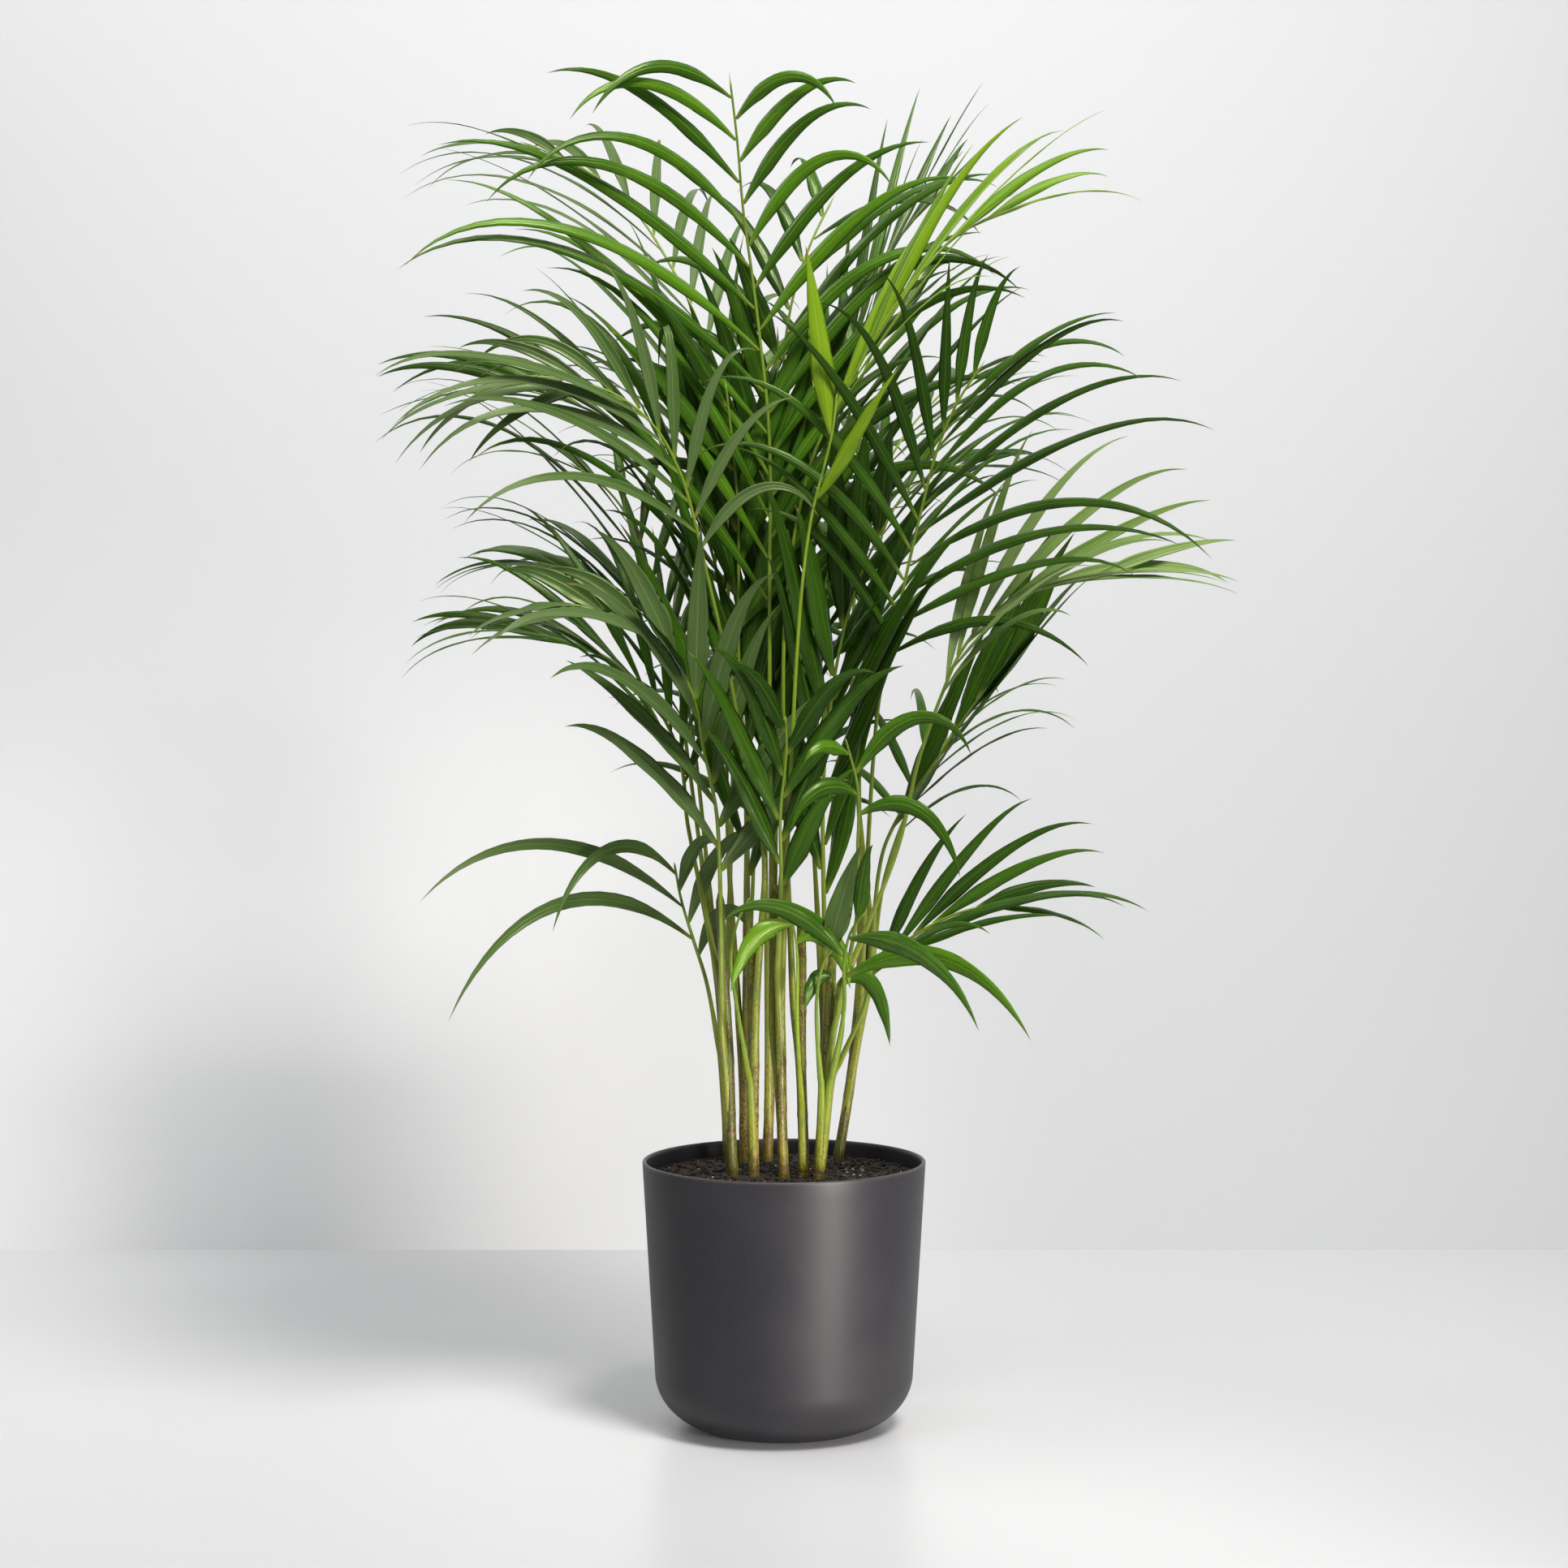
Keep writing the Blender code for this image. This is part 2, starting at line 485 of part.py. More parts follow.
class Leaflet:
    """One leaflet's run of centre points, with the way its width lies at each."""

    steps = 16

    def __init__(self, frond, number, turn, tilt, scale):
        share, along, side = frond.places()[number]
        foot, heading, above, across = frond.frame(share)
        self.side = side
        wobble = math.sin(12.9898 * (number + 1) + 4.1 * len(frond.name) + frond.pairs)
        open_ = math.radians(frond.spread[0] + (frond.spread[1] - frond.spread[0]) * along
                             + 5 * wobble + turn)
        lift = math.radians(frond.lift + 4 * wobble + tilt)
        outward = side * across * math.cos(lift) + above * math.sin(lift)
        aim = heading * math.cos(open_) + outward * math.sin(open_)
        if along < 0.35:
            fullness = 0.75 + 0.25 * along / 0.35
        else:
            fullness = 1 - 0.62 * ((along - 0.35) / 0.65) ** 1.5
        sideReach = frond.reach[0] if side > 0 else frond.reach[1]
        self.length = frond.bladeLength * fullness * scale * sideReach * (1 + 0.07 * wobble)
        self.width = frond.bladeWidth * (0.8 + 0.2 * fullness)
        droop = frond.droop[0] + (frond.droop[1] - frond.droop[0]) * along
        droop *= 1 + 0.35 * math.sin(7.3 * number + 2)
        wide = (heading - aim * heading.dot(aim)).normalized()
        pitch = Quaternion(aim, math.radians(-22) * side)
        wide.rotate(pitch)
        self.points = [foot + outward * frond.radius(share) * 0.5]
        self.wides = [wide]
        step = self.length / self.steps
        for index in range(self.steps):
            s = (index + 0.5) / self.steps
            way = (aim - up * droop * s ** 1.35).normalized()
            wide = (wide - way * wide.dot(way)).normalized()
            self.points.append(self.points[-1] + way * step)
            self.wides.append(wide)

    def section(self, index, width, thickness):
        centre = self.points[index]
        wide = self.wides[index]
        way = (self.points[min(index + 1, self.steps)] - self.points[index - 1]).normalized()
        thick = self.side * way.cross(wide) * thickness / 2
        wide = wide * width / 2
        return [centre - wide + thick, centre + wide + thick,
                centre + wide - thick, centre - wide - thick]

    def shape(self, index):
        """Width of the blade at a point along it."""
        s = index / self.steps
        return self.width * min(1, 0.25 + 2.6 * s) * (1 - max(0, (s - 0.45) / 0.55) ** 1.8)

    def testTree(self, foot, fromShare=0):
        """A slightly fat copy that has to stay clear of what is already there."""
        middle = sum(foot, Vector()) / 4
        points = [middle + (corner - middle) * 1.15 for corner in foot]
        for index in bladeStations:
            points += self.section(index, self.shape(index) + 2 * testMargin, testThickness)
        for corner in range(4):
            points[corner] = points[corner].lerp(points[corner + 4], fromShare)
        points.append(self.points[-1])
        faces = []
        for start in (0, 4):
            for corner in range(4):
                after = (corner + 1) % 4
                faces.append((start + corner, start + after, start + 4 + after, start + 4 + corner))
        faces += [(8 + corner, 8 + (corner + 1) % 4, 12) for corner in range(4)]
        return BVHTree.FromPolygons(points, faces)


def footOf(rings, number, side):
    """The four corners of the small stalk face that a leaflet grows from."""
    low = rings[bareSegments + 2 * number]
    high = rings[bareSegments + 2 * number + 1]
    # corner 0 of a ring is the stalk's ridge, 1 its right side and 2 its left
    edge = 1 if side > 0 else 2
    return [low[0], high[0], high[edge], low[edge]]


def placeLeaflet(frond, rings, number, stalk, neighbours):
    """The leaflet as designed, or the nearest turn of it that touches nothing."""
    for attempt in range(mostTries):
        swing = 2.4 * attempt
        reach = 2.6 * math.sqrt(attempt)
        scale = 1 - 0.008 * max(0, attempt - 20)
        leaflet = Leaflet(frond, number, reach * math.cos(swing), 1.6 * reach * math.sin(swing), scale)
        foot = footOf(rings, number, leaflet.side)
        tree = leaflet.testTree(foot)
        if leaflet.testTree(foot, 0.25).overlap(stalk):
            continue
        if not any(tree.overlap(other) for other in neighbours):
            return leaflet, tree
    return None, None


def growLeaflet(bm, foot, leaflet):
    """Extrudes a leaflet from a small face of the stalk."""
    face = next(f for f in foot[0].link_faces if all(vert in f.verts for vert in foot))
    corners = foot
    for index in bladeStations:
        face = bmesh.ops.extrude_discrete_faces(bm, faces=[face])["faces"][0]
        moved = []
        for vert in corners:
            near = [e.other_vert(vert) for e in vert.link_edges]
            moved.append(next(v for v in near if v in face.verts))
        corners = moved
        for vert, spot in zip(corners, leaflet.section(index, leaflet.shape(index), bladeThickness)):
            vert.co = spot
    tip = bmesh.ops.poke(bm, faces=[face])["verts"][0]
    tip.co = leaflet.points[-1]


def settleStalks(standing):
    """Stands every stalk clear of the canes and of the stalks before it."""
    trees = []
    for frond in fronds:
        for attempt in range(60):
            swing = 2.4 * attempt
            reach = 0.0022 * math.sqrt(attempt)
            frond.settle(Vector((reach * math.cos(swing), 2 * reach * math.sin(swing), 0)))
            bm = bmesh.new()
            growTube(bm, frond.stalkRings(testMargin))
            tree = BVHTree.FromBMesh(bm)
            bm.free()
            if not any(tree.overlap(other) for other in standing + trees):
                break
        else:
            print("no room for the stalk of", frond.name)
        trees.append(tree)
    return trees


def makeFronds(standing, materials, group):
    stalks = settleStalks(standing)
    blades = []
    wanted = 0
    for frond, stalk in zip(fronds, stalks):
        bm = bmesh.new()
        rings = frond.stalkRings()
        placed = growTube(bm, rings)
        around = standing + [tree for tree in stalks if tree is not stalk] + blades
        for number, (_, _, side) in enumerate(frond.places()):
            wanted += 1
            leaflet, tree = placeLeaflet(frond, rings, number, stalk, around)
            if leaflet:
                around.append(tree)
                blades.append(tree)
                growLeaflet(bm, footOf(placed, number, side), leaflet)
        faceOutwards(bm)
        addMesh("frond_" + frond.name, bm, materials[frond.tone], group)
    print("leaflets placed", len(blades), "of", wanted)


def main():
    clearScene()
    palm = newCollection("potted_areca_palm")
    cutters = newCollection("cutters")
    charcoal = newMaterial("charcoal plastic", (0.045, 0.045, 0.05), 0.5)
    earth = newMaterial("potting soil", (0.02, 0.013, 0.009), 0.95)
    cane = newMaterial("cane", (0.42, 0.44, 0.10), 0.5)
    greens = {
        "fresh": newMaterial("fresh leaf", (0.10, 0.28, 0.02), 0.4),
        "deep": newMaterial("deep leaf", (0.045, 0.14, 0.015), 0.4),
        "grey": newMaterial("grey leaf", (0.10, 0.19, 0.06), 0.45),
        "pale": newMaterial("pale leaf", (0.20, 0.32, 0.12), 0.45),
        "lime": newMaterial("lime leaf", (0.36, 0.50, 0.05), 0.4),
    }
    makePot(charcoal, palm)
    makeSoil(earth, palm, cutters)
    standing = [makeCane(name, cane, palm) for name in canes]
    makeFronds(standing, greens, palm)


main()
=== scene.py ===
import math
import random

import bmesh
import bpy
from mathutils import Matrix, Quaternion, Vector, noise
from mathutils.bvhtree import BVHTree


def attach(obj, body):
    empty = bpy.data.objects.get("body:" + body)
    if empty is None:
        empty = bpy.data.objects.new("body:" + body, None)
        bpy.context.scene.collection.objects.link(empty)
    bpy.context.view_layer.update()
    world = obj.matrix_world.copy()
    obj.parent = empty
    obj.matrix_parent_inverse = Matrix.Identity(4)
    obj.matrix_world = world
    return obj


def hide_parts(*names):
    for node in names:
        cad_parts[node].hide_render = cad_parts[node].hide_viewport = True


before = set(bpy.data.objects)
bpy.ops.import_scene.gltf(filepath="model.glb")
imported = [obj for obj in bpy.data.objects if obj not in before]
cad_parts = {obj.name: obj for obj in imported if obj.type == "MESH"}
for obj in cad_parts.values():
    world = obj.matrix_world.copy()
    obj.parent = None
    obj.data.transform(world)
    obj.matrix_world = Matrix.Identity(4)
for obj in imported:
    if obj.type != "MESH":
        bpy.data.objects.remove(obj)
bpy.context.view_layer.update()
up = Vector((0, 0, 1))


# A node's output. Plain sums on it add the Math nodes.
class Wire:
    def __init__(self, finish, output):
        self.finish = finish
        self.output = output

    def __add__(self, other):
        return self.finish.maths("ADD", self, other)

    def __radd__(self, other):
        return self.finish.maths("ADD", other, self)

    def __sub__(self, other):
        return self.finish.maths("SUBTRACT", self, other)

    def __rsub__(self, other):
        return self.finish.maths("SUBTRACT", other, self)

    def __mul__(self, other):
        return self.finish.maths("MULTIPLY", self, other)

    def __rmul__(self, other):
        return self.finish.maths("MULTIPLY", other, self)

    def __abs__(self):
        return self.finish.maths("ABSOLUTE", self, 0)


# One material, and the nodes it is put together from.
class Finish:
    def __init__(self, name):
        self.material = bpy.data.materials.new(name)
        self.material.use_nodes = True
        self.tree = self.material.node_tree
        self.tree.nodes.clear()

    def node(self, kind, settings, sockets, output=0):
        made = self.tree.nodes.new("ShaderNode" + kind)
        for key, value in settings.items():
            setattr(made, key, value)
        for key, value in sockets.items():
            if isinstance(value, Wire):
                self.tree.links.new(value.output, made.inputs[key])
            elif isinstance(value, tuple) and len(value) == 3 and made.inputs[key].type == "RGBA":
                made.inputs[key].default_value = (*value, 1)
            else:
                made.inputs[key].default_value = value
        return Wire(self, made.outputs[output])

    def maths(self, operation, first, second):
        return self.node("Math", {"operation": operation}, {0: first, 1: second})

    def wave(self, value):
        return self.maths("SINE", value, 0) * 0.5 + 0.5

    def smooth(self, value, low, high, start=0.0, end=1.0):
        settings = {"interpolation_type": "SMOOTHSTEP"}
        sockets = {"Value": value, "From Min": low, "From Max": high, "To Min": start, "To Max": end}
        return self.node("MapRange", settings, sockets)

    def blend(self, share, first, second):
        settings = {"data_type": "RGBA", "blend_type": "MIX"}
        return self.node("Mix", settings, {0: share, 6: first, 7: second}, 2)

    def place(self):
        return self.node("TexCoord", {}, {}, "Object")

    def axes(self, vector):
        return [self.node("SeparateXYZ", {}, {0: vector}, axis) for axis in (0, 1, 2)]

    def vector(self, x, y, z):
        return self.node("CombineXYZ", {}, {0: x, 1: y, 2: z})

    def grain(self, where, scale, detail=3.0, rough=0.55):
        sockets = {"Vector": where, "Scale": scale, "Detail": detail, "Roughness": rough}
        return self.node("TexNoise", {}, sockets)

    def cells(self, where, scale):
        return self.node("TexVoronoi", {}, {"Vector": where, "Scale": scale})

    def bladeAxes(self):
        return self.axes(self.node("UVMap", {"uv_map": "blade"}, {}))

    def leafTint(self):
        return self.node("Attribute", {"attribute_name": "leafTint"}, {}, "Fac")

    def bump(self, height, strength, distance):
        sockets = {"Height": height, "Strength": strength, "Distance": distance}
        return self.node("Bump", {}, sockets)

    def close(self, colour, roughness, normal=None, glow=None, glowColour=None, **steady):
        sockets = {"Base Color": colour, "Roughness": roughness}
        if normal:
            sockets["Normal"] = normal
        sockets.update({key.replace("_", " "): value for key, value in steady.items()})
        shader = self.node("BsdfPrincipled", {}, sockets)
        if glow:
            lit = {"Color": glowColour}
            if normal:
                lit["Normal"] = normal
            through = self.node("BsdfTranslucent", {}, lit)
            shader = self.node("MixShader", {}, {0: glow, 1: shader, 2: through})
        end = self.tree.nodes.new("ShaderNodeOutputMaterial")
        self.tree.links.new(shader.output, end.inputs["Surface"])
        return self.material


def newPiece(name, bm, finishes, node=None):
    mesh = bpy.data.meshes.new(name)
    bm.to_mesh(mesh)
    bm.free()
    for finish in finishes:
        mesh.materials.append(finish)
    mesh.shade_smooth()
    obj = bpy.data.objects.new(name, mesh)
    bpy.context.scene.collection.objects.link(obj)
    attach(obj, "root")
    if node:
        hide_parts(node)
    return obj


# A grid wrapped round into a closed tube, blade or lump. The place of each point comes from
# its share of the way round and along, and both ends close to a point.
class Wrapping:
    def __init__(self):
        self.bm = bmesh.new()
        self.pattern = self.bm.loops.layers.uv.new("blade")
        self.bake = self.bm.loops.layers.uv.new("OFBake")
        self.tint = self.bm.verts.layers.float.new("leafTint")

    def add(self, around, along, place, tint=0.0, slotOf=None, patternOf=None, patch=(0, 0, 1, 1)):
        made = bmesh.ops.create_grid(self.bm, x_segments=around, y_segments=along, size=0.5)["verts"]
        shares = {vert: (vert.co.x + 0.5, vert.co.y + 0.5) for vert in made}
        faces = {face for vert in made for face in vert.link_faces}
        left, low, right, high = patch
        for face in faces:
            middle = [sum(shares[vert][axis] for vert in face.verts) / 4 for axis in (0, 1)]
            face.material_index = slotOf(*middle) if slotOf else 0
            for loop in face.loops:
                u, v = shares[loop.vert]
                loop[self.pattern].uv = patternOf(u, v) if patternOf else (u, v)
                loop[self.bake].uv = (left + (right - left) * u, low + (high - low) * v)
        for vert, (u, v) in shares.items():
            vert.co = place(u, v)
            vert[self.tint] = tint
        seam = [vert for vert, (u, v) in shares.items() if min(u, 1 - u, v, 1 - v) < 0.0001]
        bmesh.ops.remove_doubles(self.bm, verts=seam, dist=0.000005)
        return faces


growth = {
    "caneRadius": 0.0042,
    "soilTop": 0.1955,
    "stalkRadius": 0.0019,
    "stalkTipRadius": 0.0008,
    "bareSegments": 5,
    "bladeBase": 0.006,
    "bladeStations": (5, 11),
    "testThickness": 0.0017,
    "testMargin": 0.0004,
    "fitGap": 0.0003,
    "mostTries": 120,
    "stalkTries": 60,
    "goldenTurn": 2.4,
    "turnStep": 2.6,
    "shiftStep": 0.0022,
    "widthRoll": -22,
}

# Each cane: its place in the soil and its top.
canes = {
    "a": ((-0.044, 0.056), (-0.051, 0.058, 0.395)),
    "b": ((-0.039, -0.030), (-0.049, -0.036, 0.420)),
    "c": ((-0.031, 0.042), (-0.029, 0.050, 0.410)),
    "d": ((-0.023, -0.028), (-0.024, -0.034, 0.385)),
    "e": ((-0.013, 0.046), (-0.008, 0.050, 0.425)),
    "f": ((0.000, -0.035), (-0.007, -0.034, 0.425)),
    "g": ((0.015, -0.028), (0.013, -0.027, 0.405)),
    "h": ((0.027, -0.040), (0.036, -0.050, 0.370)),
    "i": ((0.029, 0.012), (0.040, 0.010, 0.400)),
    "j": ((0.043, 0.060), (0.071, 0.060, 0.385)),
}


def curveThrough(knots, perSpan=12):
    padded = [2 * knots[0] - knots[1], *knots, 2 * knots[-1] - knots[-2]]
    dense = []
    for p, q, r, s in zip(padded, padded[1:], padded[2:], padded[3:]):
        for step in range(perSpan):
            t = step / perSpan
            cubic = (2 * q + (r - p) * t + (2 * p - 5 * q + 4 * r - s) * t * t
                     + (3 * q - p - 3 * r + s) * t ** 3)
            dense.append(cubic / 2)
    dense.append(knots[-1].copy())
    return dense


class Route:
    # a smooth curve, read by the share of its length
    def __init__(self, knots):
        self.points = curveThrough(knots)
        self.reach = [0.0]
        for first, second in zip(self.points, self.points[1:]):
            self.reach.append(self.reach[-1] + (second - first).length)
        self.length = self.reach[-1]

    def at(self, share):
        want = min(max(share, 0), 1) * self.length
        index = 0
        while index < len(self.reach) - 2 and self.reach[index + 1] < want:
            index += 1
        span = self.reach[index + 1] - self.reach[index]
        return self.points[index].lerp(self.points[index + 1], (want - self.reach[index]) / span)

    def heading(self, share):
        return (self.at(share + 0.01) - self.at(share - 0.01)).normalized()


def ringAround(centre, across, above, radius, sides):
    turns = [2 * math.pi * side / sides for side in range(sides)]
    return [centre + radius * (math.cos(turn) * above + math.sin(turn) * across) for turn in turns]


def tubeTree(rings):
    sides = len(rings[0])
    points = [point for ring in rings for point in ring]
    faces = [tuple(range(sides)), tuple(range(len(points) - sides, len(points)))]
    for start in range(0, len(points) - sides, sides):
        for side in range(sides):
            after = (side + 1) % sides
            faces.append((start + side, start + after, start + sides + after, start + sides + side))
    return BVHTree.FromPolygons(points, faces)


def caneAxis(name, height):
    foot, top = canes[name]
    foot = Vector((*foot, growth["soilTop"] + 0.005))
    share = (height - foot.z) / (top[2] - foot.z)
    return foot.lerp(Vector(top), min(max(share, 0), 1))


class Frond:
    # a stalk with its leaflets: where they start, where they point and how they hang
    def __init__(self, name, cane, rise, face, bare, pairs, route, blade, spread, droop,
                 lift=12, tone="deep", reach=(1, 1)):
        self.name = name
        self.cane = cane
        self.rise = rise
        self.face = Vector(face).normalized()
        self.bare = bare
        self.pairs = pairs
        self.knots = [Vector(point) for point in route]
        self.bladeLength, self.bladeWidth = blade
        self.spread = spread
        self.lift = lift
        self.droop = droop
        self.tone = tone
        self.reach = reach
        self.route = None

    def settle(self, nudge):
        # starts the stalk beside its cane and bends it aside by a nudge
        axis = caneAxis(self.cane, self.rise)
        aside = self.knots[0] + nudge - axis
        aside.z = 0
        aside.normalize()
        apart = growth["caneRadius"] + growth["stalkRadius"] + 2 * growth["fitGap"]
        moved = [knot + nudge * (0.5 + 0.5 * step / len(self.knots))
                 for step, knot in enumerate(self.knots)]
        self.route = Route([axis + aside * apart, *moved])

    def frame(self, share):
        heading = self.route.heading(share)
        above = (self.face - heading * self.face.dot(heading)).normalized()
        return self.route.at(share), heading, above, heading.cross(above)

    def radius(self, share):
        return growth["stalkRadius"] + (growth["stalkTipRadius"] - growth["stalkRadius"]) * share

    def places(self):
        found = []
        for pair in range(self.pairs):
            for side in (1, -1):
                along = (pair + (0.2 if side > 0 else 0.7)) / self.pairs
                found.append((self.bare + (0.985 - self.bare) * along, along, side))
        return found

    def stalkRings(self, margin=0):
        half = growth["bladeBase"] / 2 / self.route.length
        shares = [self.bare * step / growth["bareSegments"] for step in range(growth["bareSegments"])]
        for share, _, _ in self.places():
            shares += [share - half, share + half]
        rings = []
        for share in shares + [1]:
            centre, _, above, across = self.frame(share)
            rings.append(ringAround(centre, across, above, self.radius(share) + margin, 3))
        return rings


